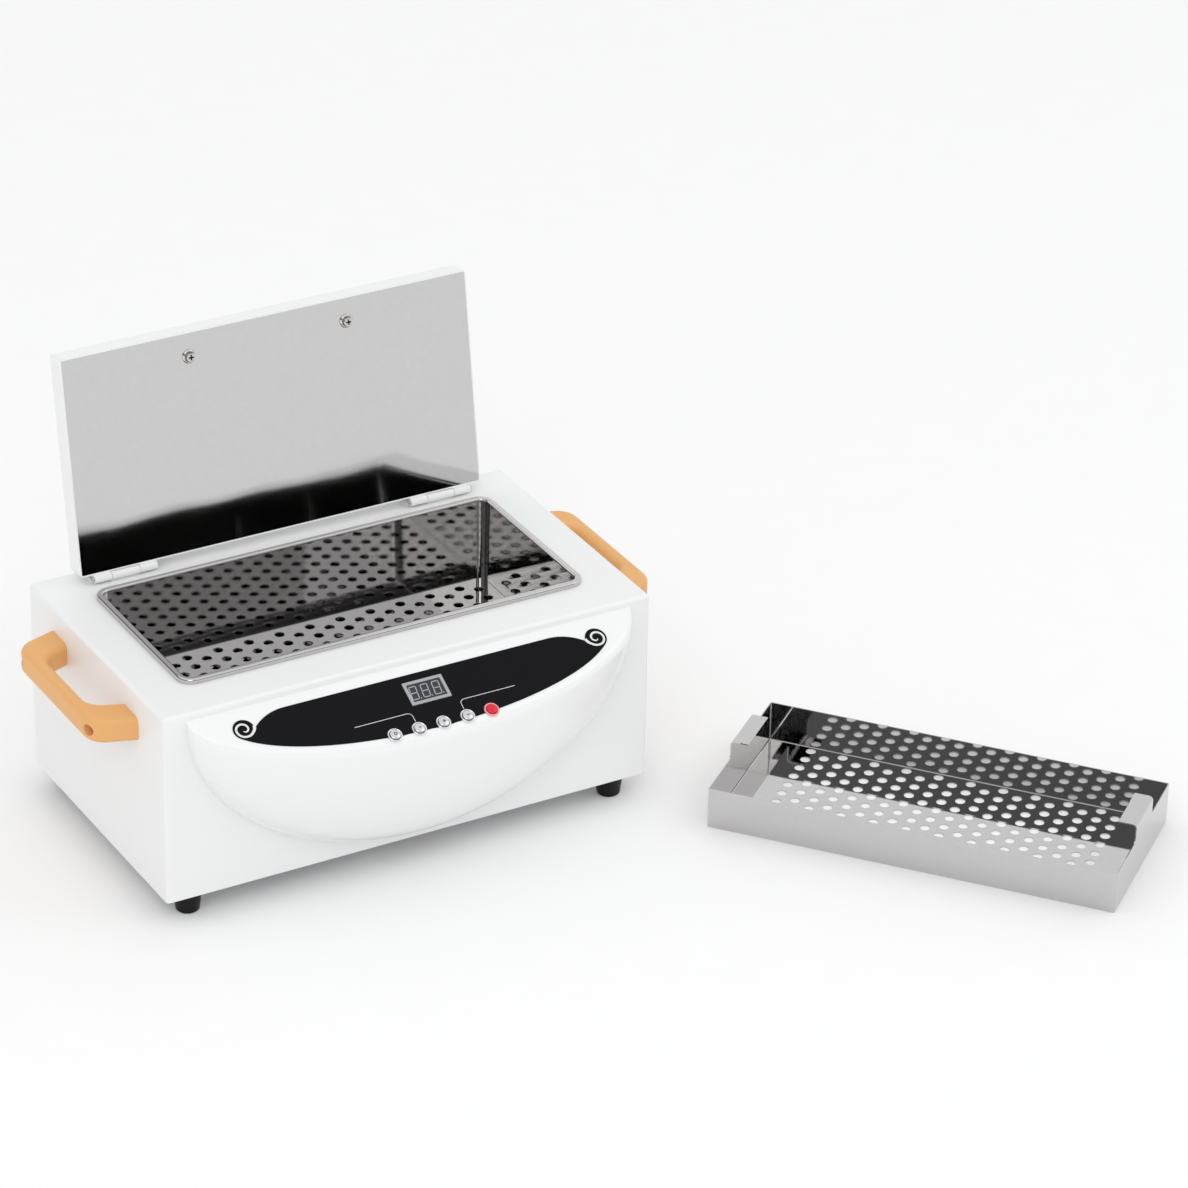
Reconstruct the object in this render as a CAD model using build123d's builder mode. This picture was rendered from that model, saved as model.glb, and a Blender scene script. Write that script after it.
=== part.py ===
from build123d import *
import os
from math import cos, radians, sin, sqrt, tan

# Bench top dry heat sterilizer with a hinged lid, shown open, and its instrument tray beside it.
# Millimetres. +Z is up, +X is to the right and the front of the casing faces -Y.
# The origin is the centre of the casing's footprint on the bench.

os.makedirs("parts", exist_ok=True)

# Casing and base
casing_width = 360.0
casing_depth = 208.0
casing_height = 138.0
casing_sheet = 1.0
casing_bend = 2.5
casing_flange = 30.0
base_sheet = 1.0
base_inset = 2.0
vent_length = 34.0
vent_width = 4.0
vent_pitch = 11.0
vent_count = 6

# Feet
foot_height = 16.0
foot_top_radius = 10.0
foot_bottom_radius = 8.0
foot_edge = 2.0
foot_side_inset = 21.0
foot_end_inset = 14.0
foot_recess_radius = 4.6
foot_recess_depth = 8.0

# Chamber
chamber_width = 290.0
chamber_depth = 131.5
chamber_corner = 6.0
chamber_shift = -1.0
tank_sheet = 1.0
rim_width = 5.0
rim_height = 3.6
rim_rounding = 1.7
top_opening_gap = 0.5
floor_drop = 58.0
floor_leg = 10.0
floor_sheet = 1.0
floor_gap = 1.0
floor_leg_length = 110.0

# Punched holes of the chamber floor and the tray
punch_radius = 3.8
punch_sides = 6
punch_pitch_x = 11.6
floor_pitch_y = 13.4
floor_columns = 24
floor_rows = 9
tray_pitch_y = 12.1
tray_columns = 20
tray_rows = 10

# Heating and insulation
jacket_wall = 16.0
jacket_floor = 15.0
jacket_drop = 12.0
jacket_top_gap = 16.0
heater_length = 240.0
heater_width = 44.0
heater_thickness = 5.0
heater_spacing = 64.0
clamp_width = 20.0
clamp_thickness = 2.0
clamp_spacing = 160.0
stud_radius = 2.0
stud_length = 11.0
stud_spacing = 118.0
clip_width = 20.0
clip_sheet = 1.5
clip_height = 13.0
clip_reach = 12.0
clip_spacing = 190.0
clip_stud_length = 6.0
cutout_radius = 8.0
cutout_height = 8.0
cutout_cap_radius = 6.5
sensor_radius = 2.5
sensor_length = 34.0
sensor_offset = 45.0

# Fasteners, drawn six sided to keep the model light
fastener_sides = 6
m3_radius = 1.5
m3_head_radius = 2.9
m3_head_height = 1.9
m4_radius = 2.0
m4_head_radius = 3.7
m4_head_height = 2.4
nut_radius = 4.0
nut_height = 3.2
thread_gap = 0.05
hole_gap = 0.3

# Bowed fascia: a quarter of an ellipsoid cut by the sloping control face
fascia_half_width = 164.0
fascia_drop = 125.0
fascia_reach = 52.2
fascia_wall = 2.5
fascia_top_gap = 5.0
control_slope = 27.5
ridge_radius = 5.0
boss_radius = 4.0
boss_depth = 10.0
upper_boss_x = 112.0
upper_boss_drop = 30.0
lower_boss_x = 62.0
lower_boss_drop = 88.0
cable_slot_width = 70.0
cable_slot_height = 20.0
cable_slot_drop = 46.0

# Control label with its scrolled ends
label_thickness = 0.4
label_top = 8.0
label_half_width = 143.0
label_drop = 43.5
label_flat_half = 97.5
label_shoulder_x = 126.0
label_shoulder_drop = 13.5
label_gap = 0.1
scroll_radius = 7.5
scroll_angle = 19.5

# Display, measured down the control face from the top of the fascia
display_centre = 22.7
display_width = 29.0
display_height = 18.0
bezel_edge = 2.2
bezel_rise = 1.0
window_gap = 0.1
window_thickness = 1.2
window_setback = 0.4
module_gap = 1.2

# Buttons
button_names = ["menu_button", "set_button", "plus_button", "minus_button", "reset_button"]
button_row = 49.3
button_pitch = 17.8
button_radius = 3.8
button_running_gap = 0.08
button_rise = 1.3
button_dome = 0.8
button_flange_radius = 4.6
button_flange = 0.8
button_flange_gap = 0.3
button_travel = 0.8
ring_radius = 5.2
ring_rise = 1.2
ring_sleeve_radius = 4.5
ring_sleeve_depth = 3.2
sleeve_gap = 0.05

# Control board behind the control face
board_depth = 9.6
board_thickness = 1.6
board_width = 112.0
board_top = 10.0
board_bottom = 54.0
board_boss_radius = 3.2
board_boss_x = 50.0
board_boss_top = 14.0
board_boss_bottom = 40.0
switch_size = 6.0
switch_body = 3.2
switch_gap = 0.4

# Power board on the base plate
power_x = -45.0
power_y = 12.0
power_width = 110.0
power_depth = 70.0
standoff_height = 8.0
standoff_radius = 3.2
standoff_inset = 5.0
transformer_size = (36.0, 30.0, 26.0)
transformer_edge = 1.5
relay_size = (28.0, 12.5, 16.0)
terminal_size = (50.0, 10.0, 11.0)
terminal_ways = 6

# Mains inlet and rocker switch in the rear wall
rear_fitting_z = 46.0
inlet_x = 118.0
inlet_flange = (31.0, 24.0, 2.5)
inlet_body = (26.8, 19.6, 20.0)
inlet_corner = 5.0
inlet_socket = (24.0, 16.8, 16.5)
pin_width = 2.0
pin_height = 4.0
pin_length = 12.0
pin_tail = 6.0
pin_spacing = 14.0
pin_offset = 2.0
clip_wedge = 1.2
clip_wedge_length = 5.0
rocker_x = 74.0
rocker_flange = (21.0, 15.0, 1.6)
rocker_body = (19.0, 12.8, 15.0)
rocker_well = (16.4, 9.8, 8.0)
rocker_half_length = 7.3
rocker_width = 9.2
rocker_tilt = 8.0
rocker_crown = 4.0
rocker_valley = 2.4
rocker_belly = 4.2
rocker_pivot_drop = 0.6
trunnion_radius = 1.0
trunnion_length = 0.9
trunnion_gap = 0.06
panel_gap = 0.1

# Side handles
handle_length = 135.5
handle_outer_length = 116.0
handle_shift = 1.0
handle_reach = 30.0
handle_height = 17.4
handle_top_drop = 17.5
handle_corner = 16.0
handle_rounding = 4.0
grip_length = 86.0
grip_inner_length = 70.0
grip_depth = 20.0
grip_corner = 14.0
handle_screw_pitch = 104.0
access_radius = 4.0
handle_seat = 9.0

# Hinges
hinge_from_rear = 22.8
hinge_centre_x = 119.4
hinge_length = 46.0
middle_knuckle = 20.5
knuckle_gap = 0.4
knuckle_radius = 2.8
hinge_pin_radius = 1.2
pin_running_gap = 0.05
pin_head_radius = 1.8
pin_head_length = 0.8
leaf_sheet = 1.4
body_leaf_reach = 16.0
lid_leaf_reach = 15.0
leaf_notch_gap = 0.5
leaf_screw_pitch = 26.0
leaf_screw_reach = 9.8
leaf_head_height = 1.8
leaf_head_radius = 3.0
leaf_shank_length = 6.0
lid_leaf_screw_pitch = 12.0
lid_leaf_screw_reach = 8.6
pin_head_gap = 0.3

# Lid
lid_open_angle = 98.9
lid_rest_gap = 0.3
lid_rear_gap = 3.2
lid_side_overhang = 1.5
lid_front_overhang = 3.5
lid_thickness = 17.1
lid_sheet = 1.0
lid_bend = 2.0
liner_sheet = 0.8
liner_return = 8.0
pad_side_gap = 3.0
pad_rear_gap = 12.0
lid_screw_pitch = 117.6
lid_screw_from_front = 17.0
cup_radius = 5.0
cup_top_radius = 4.2
cup_height = 1.6
lid_handle_length = 134.0
lid_handle_outer_length = 116.0
lid_handle_height = 24.0
lid_handle_depth = 12.0
lid_grip_length = 98.0
lid_grip_inner_length = 90.0
lid_grip_depth = 14.5
lid_grip_corner = 9.0
lid_handle_corner = 8.0
lid_handle_rounding = 2.5
lid_screw_depth = 13.0

# Instrument tray, lifted out and set down beside the casing
tray_gap = 2.0
tray_height = 30.0
tray_sheet = 0.8
tray_tab_length = 40.0
tray_tab_rise = 13.5
tray_tab_fold = 13.0
tray_tab_bend = 3.0
tray_tab_root = 3.0
tray_x = 335.2
tray_y = -231.0
tray_turn = -50.6

# Levels and faces worked out from the sizes above
base_z = foot_height
casing_z = base_z + base_sheet
top_z = casing_z + casing_height
front_y = -casing_depth / 2
rear_y = casing_depth / 2
side_x = casing_width / 2
rim_half_width = chamber_width / 2 + rim_width
rim_front_y = chamber_shift - chamber_depth / 2 - rim_width
floor_z = top_z - floor_drop
tank_floor_z = floor_z - floor_sheet - floor_leg
tank_under_z = tank_floor_z - tank_sheet
tank_half_depth = chamber_depth / 2 + tank_sheet
hinge_y = rear_y - hinge_from_rear
hinge_z = top_z + rim_height + lid_rest_gap
foot_x = side_x - foot_side_inset
foot_y = casing_depth / 2 - foot_end_inset

control_plane = Plane(
    origin=(0, front_y, top_z - fascia_top_gap),
    x_dir=(1, 0, 0),
    z_dir=(0, -sin(radians(control_slope)), cos(radians(control_slope))),
)
lid_plane = Plane(
    origin=(0, hinge_y, hinge_z),
    x_dir=(1, 0, 0),
    z_dir=(0, sin(radians(lid_open_angle)), cos(radians(lid_open_angle))),
)
tray_plane = Plane(
    origin=(tray_x, tray_y, 0),
    x_dir=(cos(radians(tray_turn)), sin(radians(tray_turn)), 0),
    z_dir=(0, 0, 1),
)


def on_face(plane, x, y, rise=0.0):
    """A plane parallel to another one, with its origin at local x, y and at a height above it."""
    return Plane(origin=plane.from_local_coords(Vector(x, y, rise)), x_dir=plane.x_dir, z_dir=plane.z_dir)


def save(builder, name):
    """Label a finished piece and write its STEP file."""
    builder.part.label = name
    export_step(builder.part, f"parts/{name}.step")


def prism(seat, radius, amount, mode=Mode.ADD, sides=fastener_sides):
    """Extrude a regular polygon from a seat plane into the current part."""
    with BuildSketch(seat) as outline:
        RegularPolygon(radius, sides)
    extrude(outline.sketch, amount=amount, mode=mode)


def add_screw(seat, radius, length, head_radius, head_height):
    """Add a screw whose head stands on the seat plane and whose shank goes down from it."""
    prism(seat, head_radius, head_height)
    prism(seat, radius, -length)


def cut_hole(seat, radius, depth):
    """Cut a fastener hole down from a seat plane."""
    prism(seat, radius, -depth, mode=Mode.SUBTRACT)


def punched_field(plane, columns, rows, pitch_y):
    """The staggered hole field of a chamber sheet, as one sketch."""
    with BuildSketch(plane) as field:
        for shift in (-1, 1):
            with Locations((-shift * punch_pitch_x / 2, shift * pitch_y / 4)):
                with GridLocations(2 * punch_pitch_x, pitch_y, columns // 2, rows):
                    RegularPolygon(punch_radius, punch_sides)
    return field.sketch


def bow_handle(plane, length, outer_length, reach, width, corner, rounding, grip):
    """A bow handle: local x runs along the wall and local y stands away from it."""
    grip_length, grip_inner, grip_reach, grip_radius = grip
    with BuildPart() as bow:
        with BuildSketch(plane):
            Polygon(
                (-length / 2, 0), (length / 2, 0), (outer_length / 2, reach), (-outer_length / 2, reach), align=None
            )
            fillet(vertices().group_by(Axis.Y)[-1], corner)
        extrude(amount=width / 2, both=True)
        with BuildSketch(plane):
            Polygon(
                (-grip_length / 2, 0), (grip_length / 2, 0), (grip_inner / 2, grip_reach),
                (-grip_inner / 2, grip_reach), align=None,
            )
            fillet(vertices().group_by(Axis.Y)[-1], grip_radius)
        extrude(amount=width / 2, both=True, mode=Mode.SUBTRACT)
        sides = bow.faces().filter_by(plane).edges()
        fillet(sides.filter_by(lambda e: plane.to_local_coords(e.center()).Y > 0.01), rounding)
    return bow.part


foot_spots = [
    ("foot_front_left", -foot_x, -foot_y),
    ("foot_front_right", foot_x, -foot_y),
    ("foot_rear_left", -foot_x, foot_y),
    ("foot_rear_right", foot_x, foot_y),
]
base_screw_spots = [(0, -foot_y), (0, foot_y), (-foot_x, 0), (foot_x, 0)]
handle_bottom_z = top_z - handle_top_drop - handle_height
handle_middle_z = handle_bottom_z + handle_height / 2
handle_screw_spots = [
    (side, handle_shift + end * handle_screw_pitch / 2) for side in (-1, 1) for end in (-1, 1)
]
fascia_boss_spots = [
    (side * upper_boss_x, top_z - fascia_top_gap - upper_boss_drop) for side in (-1, 1)
] + [(side * lower_boss_x, top_z - fascia_top_gap - lower_boss_drop) for side in (-1, 1)]
clip_spots = [
    (side * clip_spacing / 2, face) for side in (-1, 1) for face in (-1, 1)
]
clamp_stud_spots = [
    (side * clamp_spacing / 2, chamber_shift + end * stud_spacing / 2) for side in (-1, 1) for end in (-1, 1)
]
clip_stud_z = top_z - casing_sheet - clip_height / 2 - clip_sheet

# Casing: one folded sheet shell with a flange round its open bottom
with BuildPart() as casing:
    with BuildSketch(Plane.XY.offset(casing_z)):
        RectangleRounded(casing_width, casing_depth, casing_bend)
    extrude(amount=casing_height)
    fillet(casing.faces().sort_by(Axis.Z)[-1].edges(), casing_bend)
    with BuildSketch(Plane.XY.offset(casing_z + casing_sheet)):
        RectangleRounded(
            casing_width - 2 * casing_sheet, casing_depth - 2 * casing_sheet, casing_bend - casing_sheet
        )
    extrude(amount=casing_height - 2 * casing_sheet, mode=Mode.SUBTRACT)
    with BuildSketch(Plane.XY.offset(casing_z)):
        Rectangle(casing_width - 2 * casing_flange, casing_depth - 2 * casing_flange)
    extrude(amount=casing_sheet, mode=Mode.SUBTRACT)
    with BuildSketch(Plane.XY.offset(top_z)):
        with Locations((0, chamber_shift)):
            RectangleRounded(
                chamber_width + 2 * (tank_sheet + top_opening_gap),
                chamber_depth + 2 * (tank_sheet + top_opening_gap),
                chamber_corner + tank_sheet + top_opening_gap,
            )
    extrude(amount=-casing_sheet, mode=Mode.SUBTRACT)
    with BuildSketch(Plane(origin=(0, front_y, top_z - cable_slot_drop), x_dir=(1, 0, 0), z_dir=(0, -1, 0))):
        Rectangle(cable_slot_width, cable_slot_height)
    extrude(amount=-casing_sheet, mode=Mode.SUBTRACT)
    for x, z in fascia_boss_spots:
        cut_hole(Plane(origin=(x, front_y, z), z_dir=(0, -1, 0)), m3_radius + hole_gap, casing_sheet)
    for side, y in handle_screw_spots:
        cut_hole(
            Plane(origin=(side * side_x, y, handle_middle_z), z_dir=(side, 0, 0)), m4_radius + hole_gap, casing_sheet
        )
    for x, y in [(x, y) for name, x, y in foot_spots] + base_screw_spots:
        cut_hole(Plane(origin=(x, y, casing_z + casing_sheet)), m4_radius + hole_gap, casing_sheet)
    for side in (-1, 1):
        for end in (-1, 1):
            x = side * hinge_centre_x + end * leaf_screw_pitch / 2
            cut_hole(
                Plane(origin=(x, hinge_y + leaf_screw_reach, top_z)), m3_radius + thread_gap, casing_sheet
            )
    with BuildSketch(Plane(origin=(0, rear_y, rear_fitting_z), x_dir=(-1, 0, 0), z_dir=(0, 1, 0))):
        with Locations((-inlet_x, 0)):
            Rectangle(inlet_body[0] + 2 * panel_gap, inlet_body[1] + 2 * panel_gap)
        with Locations((-rocker_x, 0)):
            Rectangle(rocker_body[0] + 2 * panel_gap, rocker_body[1] + 2 * panel_gap)
    extrude(amount=-casing_sheet, mode=Mode.SUBTRACT)
save(casing, "casing")

# Base plate with its vents and screw holes
with BuildPart() as base_plate:
    with BuildSketch(Plane.XY.offset(base_z)):
        RectangleRounded(casing_width - 2 * base_inset, casing_depth - 2 * base_inset, casing_bend)
        for side in (-1, 1):
            with Locations((side * casing_width / 4, 0)):
                with GridLocations(vent_length, vent_pitch, 1, vent_count):
                    Rectangle(vent_length, vent_width, mode=Mode.SUBTRACT)
        with Locations([(x, y) for name, x, y in foot_spots] + base_screw_spots):
            RegularPolygon(m4_radius + hole_gap, fastener_sides, mode=Mode.SUBTRACT)
        with Locations((power_x, power_y)):
            with GridLocations(power_width - 2 * standoff_inset, power_depth - 2 * standoff_inset, 2, 2):
                RegularPolygon(m3_radius + hole_gap, fastener_sides, mode=Mode.SUBTRACT)
    extrude(amount=base_sheet)
save(base_plate, "base_plate")

# Tapered rubber feet, each with a recess for its screw
for name, x, y in foot_spots:
    with BuildPart() as foot:
        with BuildSketch(Plane(origin=(x, y, 0), x_dir=(1, 0, 0), z_dir=(0, -1, 0))):
            with BuildLine():
                Polyline(
                    (0, 0), (foot_bottom_radius, 0), (foot_top_radius, foot_height), (0, foot_height), close=True
                )
            make_face()
            fillet(vertices().group_by(Axis.Y)[0].sort_by(Axis.X)[-1], foot_edge)
        revolve(axis=Axis((x, y, 0), (0, 0, 1)))
        with BuildSketch(Plane(origin=(x, y, 0))):
            Circle(foot_recess_radius)
        extrude(amount=foot_recess_depth, mode=Mode.SUBTRACT)
        cut_hole(Plane(origin=(x, y, foot_height)), m4_radius + thread_gap, foot_height)
    save(foot, name)

# Screws that hold the feet and the base plate to the casing's flange
with BuildPart() as foot_screws:
    for name, x, y in foot_spots:
        add_screw(
            Plane(origin=(x, y, foot_recess_depth), z_dir=(0, 0, -1)),
            m4_radius,
            casing_z + casing_sheet + nut_height - foot_recess_depth,
            m4_head_radius,
            m4_head_height,
        )
save(foot_screws, "foot_screws")

with BuildPart() as base_screws:
    for x, y in base_screw_spots:
        add_screw(
            Plane(origin=(x, y, base_z), z_dir=(0, 0, -1)),
            m4_radius,
            base_sheet + casing_sheet + nut_height,
            m4_head_radius,
            m4_head_height,
        )
save(base_screws, "base_screws")

# Chamber tank: a deep drawn stainless box whose rolled rim rests on the casing
with BuildPart() as chamber_tank:
    with BuildSketch(Plane.XY.offset(tank_under_z)):
        with Locations((0, chamber_shift)):
            RectangleRounded(
                chamber_width + 2 * tank_sheet, chamber_depth + 2 * tank_sheet, chamber_corner + tank_sheet
            )
    extrude(amount=top_z - tank_under_z)
    with BuildSketch(Plane.XY.offset(top_z)):
        with Locations((0, chamber_shift)):
            RectangleRounded(
                chamber_width + 2 * rim_width, chamber_depth + 2 * rim_width, chamber_corner + rim_width
            )
    extrude(amount=rim_height)
    with BuildSketch(Plane.XY.offset(tank_floor_z)):
        with Locations((0, chamber_shift)):
            RectangleRounded(chamber_width, chamber_depth, chamber_corner)
    extrude(amount=top_z + rim_height - tank_floor_z, mode=Mode.SUBTRACT)
    fillet(chamber_tank.edges().group_by(Axis.Z)[-1], rim_rounding)
    for x, y in clamp_stud_spots:
        with BuildSketch(Plane(origin=(x, y, tank_under_z), z_dir=(0, 0, -1))):
            RegularPolygon(stud_radius, fastener_sides)
        extrude(amount=stud_length)
    for x, face in clip_spots:
        stud_seat = (x, chamber_shift + face * tank_half_depth, clip_stud_z)
        with BuildSketch(Plane(origin=stud_seat, z_dir=(0, face, 0))):
            RegularPolygon(stud_radius, fastener_sides)
        extrude(amount=clip_stud_length)
save(chamber_tank, "chamber_tank")

# Perforated chamber floor, standing on two folded legs
with BuildPart() as chamber_floor:
    plate_width = chamber_width - 2 * floor_gap
    plate_depth = chamber_depth - 2 * floor_gap
    plate_plane = Plane(origin=(0, chamber_shift, floor_z - floor_sheet))
    with BuildSketch(plate_plane):
        RectangleRounded(plate_width, plate_depth, chamber_corner - floor_gap)
        add(punched_field(Plane.XY, floor_columns, floor_rows, floor_pitch_y), mode=Mode.SUBTRACT)
    extrude(amount=floor_sheet)
    with BuildSketch(plate_plane):
        with GridLocations(plate_width - floor_sheet, 1, 2, 1):
            Rectangle(floor_sheet, floor_leg_length)
    extrude(amount=-floor_leg)
save(chamber_floor, "chamber_floor")

# Fibre jacket round the tank, open above and hollow below for the heaters
jacket_cavity_z = tank_under_z - jacket_drop
jacket_top_z = top_z - jacket_top_gap
with BuildPart() as insulation_jacket:
    with BuildSketch(Plane.XY.offset(jacket_cavity_z - jacket_floor)):
        with Locations((0, chamber_shift)):
            RectangleRounded(
                chamber_width + 2 * (tank_sheet + jacket_wall),
                chamber_depth + 2 * (tank_sheet + jacket_wall),
                chamber_corner + jacket_wall / 2,
            )
    extrude(amount=jacket_top_z - jacket_cavity_z + jacket_floor)
    with BuildSketch(Plane.XY.offset(jacket_cavity_z)):
        with Locations((0, chamber_shift)):
            RectangleRounded(
                chamber_width + 2 * tank_sheet, chamber_depth + 2 * tank_sheet, chamber_corner + tank_sheet
            )
    extrude(amount=jacket_top_z - jacket_cavity_z, mode=Mode.SUBTRACT)
save(insulation_jacket, "insulation_jacket")

# Two flat strip heaters pressed against the tank
for name, side in (("heater_front", -1), ("heater_rear", 1)):
    with BuildPart() as heater:
        with BuildSketch(Plane.XY.offset(tank_under_z)):
            with Locations((0, chamber_shift + side * heater_spacing / 2)):
                RectangleRounded(heater_length, heater_width, 3)
        extrude(amount=-heater_thickness)
    save(heater, name)

heater_under_z = tank_under_z - heater_thickness
with BuildPart() as heater_clamps:
    with BuildSketch(Plane.XY.offset(heater_under_z)):
        with Locations((0, chamber_shift)):
            with GridLocations(clamp_spacing, 1, 2, 1):
                Rectangle(clamp_width, stud_spacing + clamp_width / 2)
        with Locations(clamp_stud_spots):
            RegularPolygon(stud_radius + hole_gap, fastener_sides, mode=Mode.SUBTRACT)
    extrude(amount=-clamp_thickness)
save(heater_clamps, "heater_clamps")

# Angle clips that pull the tank's rim down on the casing's top
clip_top_z = top_z - casing_sheet
with BuildPart() as tank_clips:
    for x, face in clip_spots:
        wall_y = chamber_shift + face * tank_half_depth
        with BuildSketch(Plane(origin=(x - clip_width / 2, wall_y, clip_top_z), x_dir=(0, face, 0), z_dir=(face, 0, 0))):
            with BuildLine():
                Polyline(
                    (0, 0), (clip_reach, 0), (clip_reach, -clip_sheet), (clip_sheet, -clip_sheet),
                    (clip_sheet, -clip_height), (0, -clip_height), close=True,
                )
            make_face()
        extrude(amount=face * clip_width)
        cut_hole(Plane(origin=(x, wall_y + face * clip_sheet, clip_stud_z), z_dir=(0, face, 0)), stud_radius + hole_gap, clip_sheet)
save(tank_clips, "tank_clips")

# Hexagon nuts on the feet, base, clamp, clip and handle screws
nut_seats = [Plane(origin=(x, y, casing_z + casing_sheet)) for name, x, y in foot_spots]
nut_seats += [Plane(origin=(x, y, casing_z + casing_sheet)) for x, y in base_screw_spots]
nut_seats += [
    Plane(origin=(x, y, heater_under_z - clamp_thickness), z_dir=(0, 0, -1)) for x, y in clamp_stud_spots
]
nut_seats += [
    Plane(
        origin=(x, chamber_shift + face * (tank_half_depth + clip_sheet), clip_stud_z), z_dir=(0, face, 0)
    )
    for x, face in clip_spots
]
nut_seats += [
    Plane(origin=(side * (side_x - casing_sheet), y, handle_middle_z), z_dir=(-side, 0, 0))
    for side, y in handle_screw_spots
]
with BuildPart() as hex_nuts:
    for seat in nut_seats:
        with BuildSketch(seat):
            RegularPolygon(nut_radius, 6)
            RegularPolygon(m4_radius + thread_gap, fastener_sides, mode=Mode.SUBTRACT)
        extrude(amount=nut_height)
save(hex_nuts, "hex_nuts")

# Over temperature cutout between the heaters, and the probe beside it
with BuildPart() as thermal_cutout:
    with BuildSketch(Plane(origin=(0, chamber_shift, tank_under_z), z_dir=(0, 0, -1))):
        RegularPolygon(cutout_radius, 12)
    extrude(amount=cutout_height / 2)
    with BuildSketch(Plane(origin=(0, chamber_shift, tank_under_z - cutout_height / 2), z_dir=(0, 0, -1))):
        RegularPolygon(cutout_cap_radius, 12)
    extrude(amount=cutout_height / 2)
save(thermal_cutout, "thermal_cutout")

with BuildPart() as temperature_sensor:
    sensor_z = tank_under_z - sensor_radius
    with BuildSketch(Plane(origin=(sensor_offset, chamber_shift, sensor_z), z_dir=(1, 0, 0))):
        RegularPolygon(sensor_radius, 8, rotation=22.5, major_radius=False)
    extrude(amount=sensor_length)
save(temperature_sensor, "temperature_sensor")


def bowl(half_width, reach, drop):
    """A full ellipsoid, made by stretching a unit sphere."""
    with BuildPart() as solid:
        Sphere(1)
        scale(by=(half_width, reach, drop))
    return solid.part


# Fascia: the quarter ellipsoid bowl under the sloping control face, moulded hollow with its bosses
fascia_centre = Vector(0, front_y, top_z - fascia_top_gap)
front_plane = Plane(origin=fascia_centre, x_dir=(1, 0, 0), z_dir=(0, -1, 0))
inner_control = control_plane.offset(-fascia_wall)
board_plane = control_plane.offset(-board_depth)
board_boss_spots = [
    (side * board_boss_x, -row) for side in (-1, 1) for row in (board_boss_top, board_boss_bottom)
]
button_spots = [((index - 2) * button_pitch, -button_row) for index in range(5)]
with BuildPart() as fascia_cavity:
    with Locations(fascia_centre):
        add(bowl(fascia_half_width - fascia_wall, fascia_reach - fascia_wall, fascia_drop - fascia_wall))
    split(bisect_by=front_plane, keep=Keep.TOP)
    split(bisect_by=inner_control, keep=Keep.BOTTOM)
    for x, z in fascia_boss_spots:
        boss_seat = Plane(origin=(x, front_y, z), z_dir=(0, -1, 0))
        prism(boss_seat, boss_radius, fascia_reach, mode=Mode.SUBTRACT, sides=8)
    for x, y in board_boss_spots:
        prism(on_face(board_plane, x, y), board_boss_radius, board_depth, mode=Mode.SUBTRACT, sides=8)

with BuildPart() as fascia:
    with Locations(fascia_centre):
        add(bowl(fascia_half_width, fascia_reach, fascia_drop))
    split(bisect_by=front_plane, keep=Keep.TOP)
    split(bisect_by=control_plane, keep=Keep.BOTTOM)
    ridge = fascia.faces().filter_by(control_plane).edges().filter_by(GeomType.LINE, reverse=True)
    fillet(ridge, ridge_radius)
    add(fascia_cavity.part, mode=Mode.SUBTRACT)
    for x, z in fascia_boss_spots:
        cut_hole(Plane(origin=(x, front_y, z), z_dir=(0, 1, 0)), m3_radius + thread_gap, boss_depth)
    for x, y in board_boss_spots:
        prism(on_face(board_plane, x, y), m3_radius + thread_gap, board_depth - fascia_wall, mode=Mode.SUBTRACT)
    with BuildSketch(on_face(control_plane, 0, -display_centre)):
        Rectangle(display_width - bezel_edge, display_height - bezel_edge)
    extrude(amount=-fascia_wall, mode=Mode.SUBTRACT)
    for x, y in button_spots:
        with BuildSketch(on_face(control_plane, x, y)):
            Circle(ring_sleeve_radius + sleeve_gap)
        extrude(amount=-fascia_wall, mode=Mode.SUBTRACT)
save(fascia, "fascia")

with BuildPart() as fascia_screws:
    for x, z in fascia_boss_spots:
        seat = Plane(origin=(x, front_y + casing_sheet, z), z_dir=(0, 1, 0))
        add_screw(seat, m3_radius, casing_sheet + boss_depth - 1, m3_head_radius, m3_head_height)
save(fascia_screws, "fascia_screws")

# Glossy control label, cut round the display and the button rings
scroll_tip = Vector(
    label_half_width * cos(radians(scroll_angle)), label_top + label_drop * sin(radians(scroll_angle))
)
scroll_lean = Vector(cos(radians(scroll_angle)) / label_half_width, sin(radians(scroll_angle)) / label_drop)
scroll_centre = scroll_tip - scroll_lean.normalized() * scroll_radius
with BuildPart() as control_label:
    with BuildSketch(control_plane):
        with BuildLine():
            Line((0, -label_top), (label_flat_half, -label_top))
            TangentArc(
                (label_flat_half, -label_top), (label_shoulder_x, -label_top - label_shoulder_drop), tangent=(1, 0)
            )
            Line((label_shoulder_x, -label_top - label_shoulder_drop), (scroll_tip.X, -scroll_tip.Y))
            EllipticalCenterArc(
                (0, -label_top), label_half_width, label_drop, start_angle=-90, arc_size=90 - scroll_angle
            )
            Line((0, -label_top - label_drop), (0, -label_top))
        make_face()
        with Locations((scroll_centre.X, -scroll_centre.Y)):
            Circle(scroll_radius)
        mirror(about=Plane.YZ)
        with Locations((0, -display_centre)):
            Rectangle(display_width + 2 * label_gap, display_height + 2 * label_gap, mode=Mode.SUBTRACT)
        with Locations(button_spots):
            Circle(ring_radius + label_gap, mode=Mode.SUBTRACT)
    extrude(amount=label_thickness)
save(control_label, "control_label")

# Display: frame, window and digit module
bezel_plane = on_face(control_plane, 0, -display_centre)
opening_width = display_width - 2 * bezel_edge
opening_height = display_height - 2 * bezel_edge
with BuildPart() as display_bezel:
    with BuildSketch(bezel_plane):
        Rectangle(display_width, display_height)
        Rectangle(opening_width, opening_height, mode=Mode.SUBTRACT)
    extrude(amount=bezel_rise)
save(display_bezel, "display_bezel")

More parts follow.
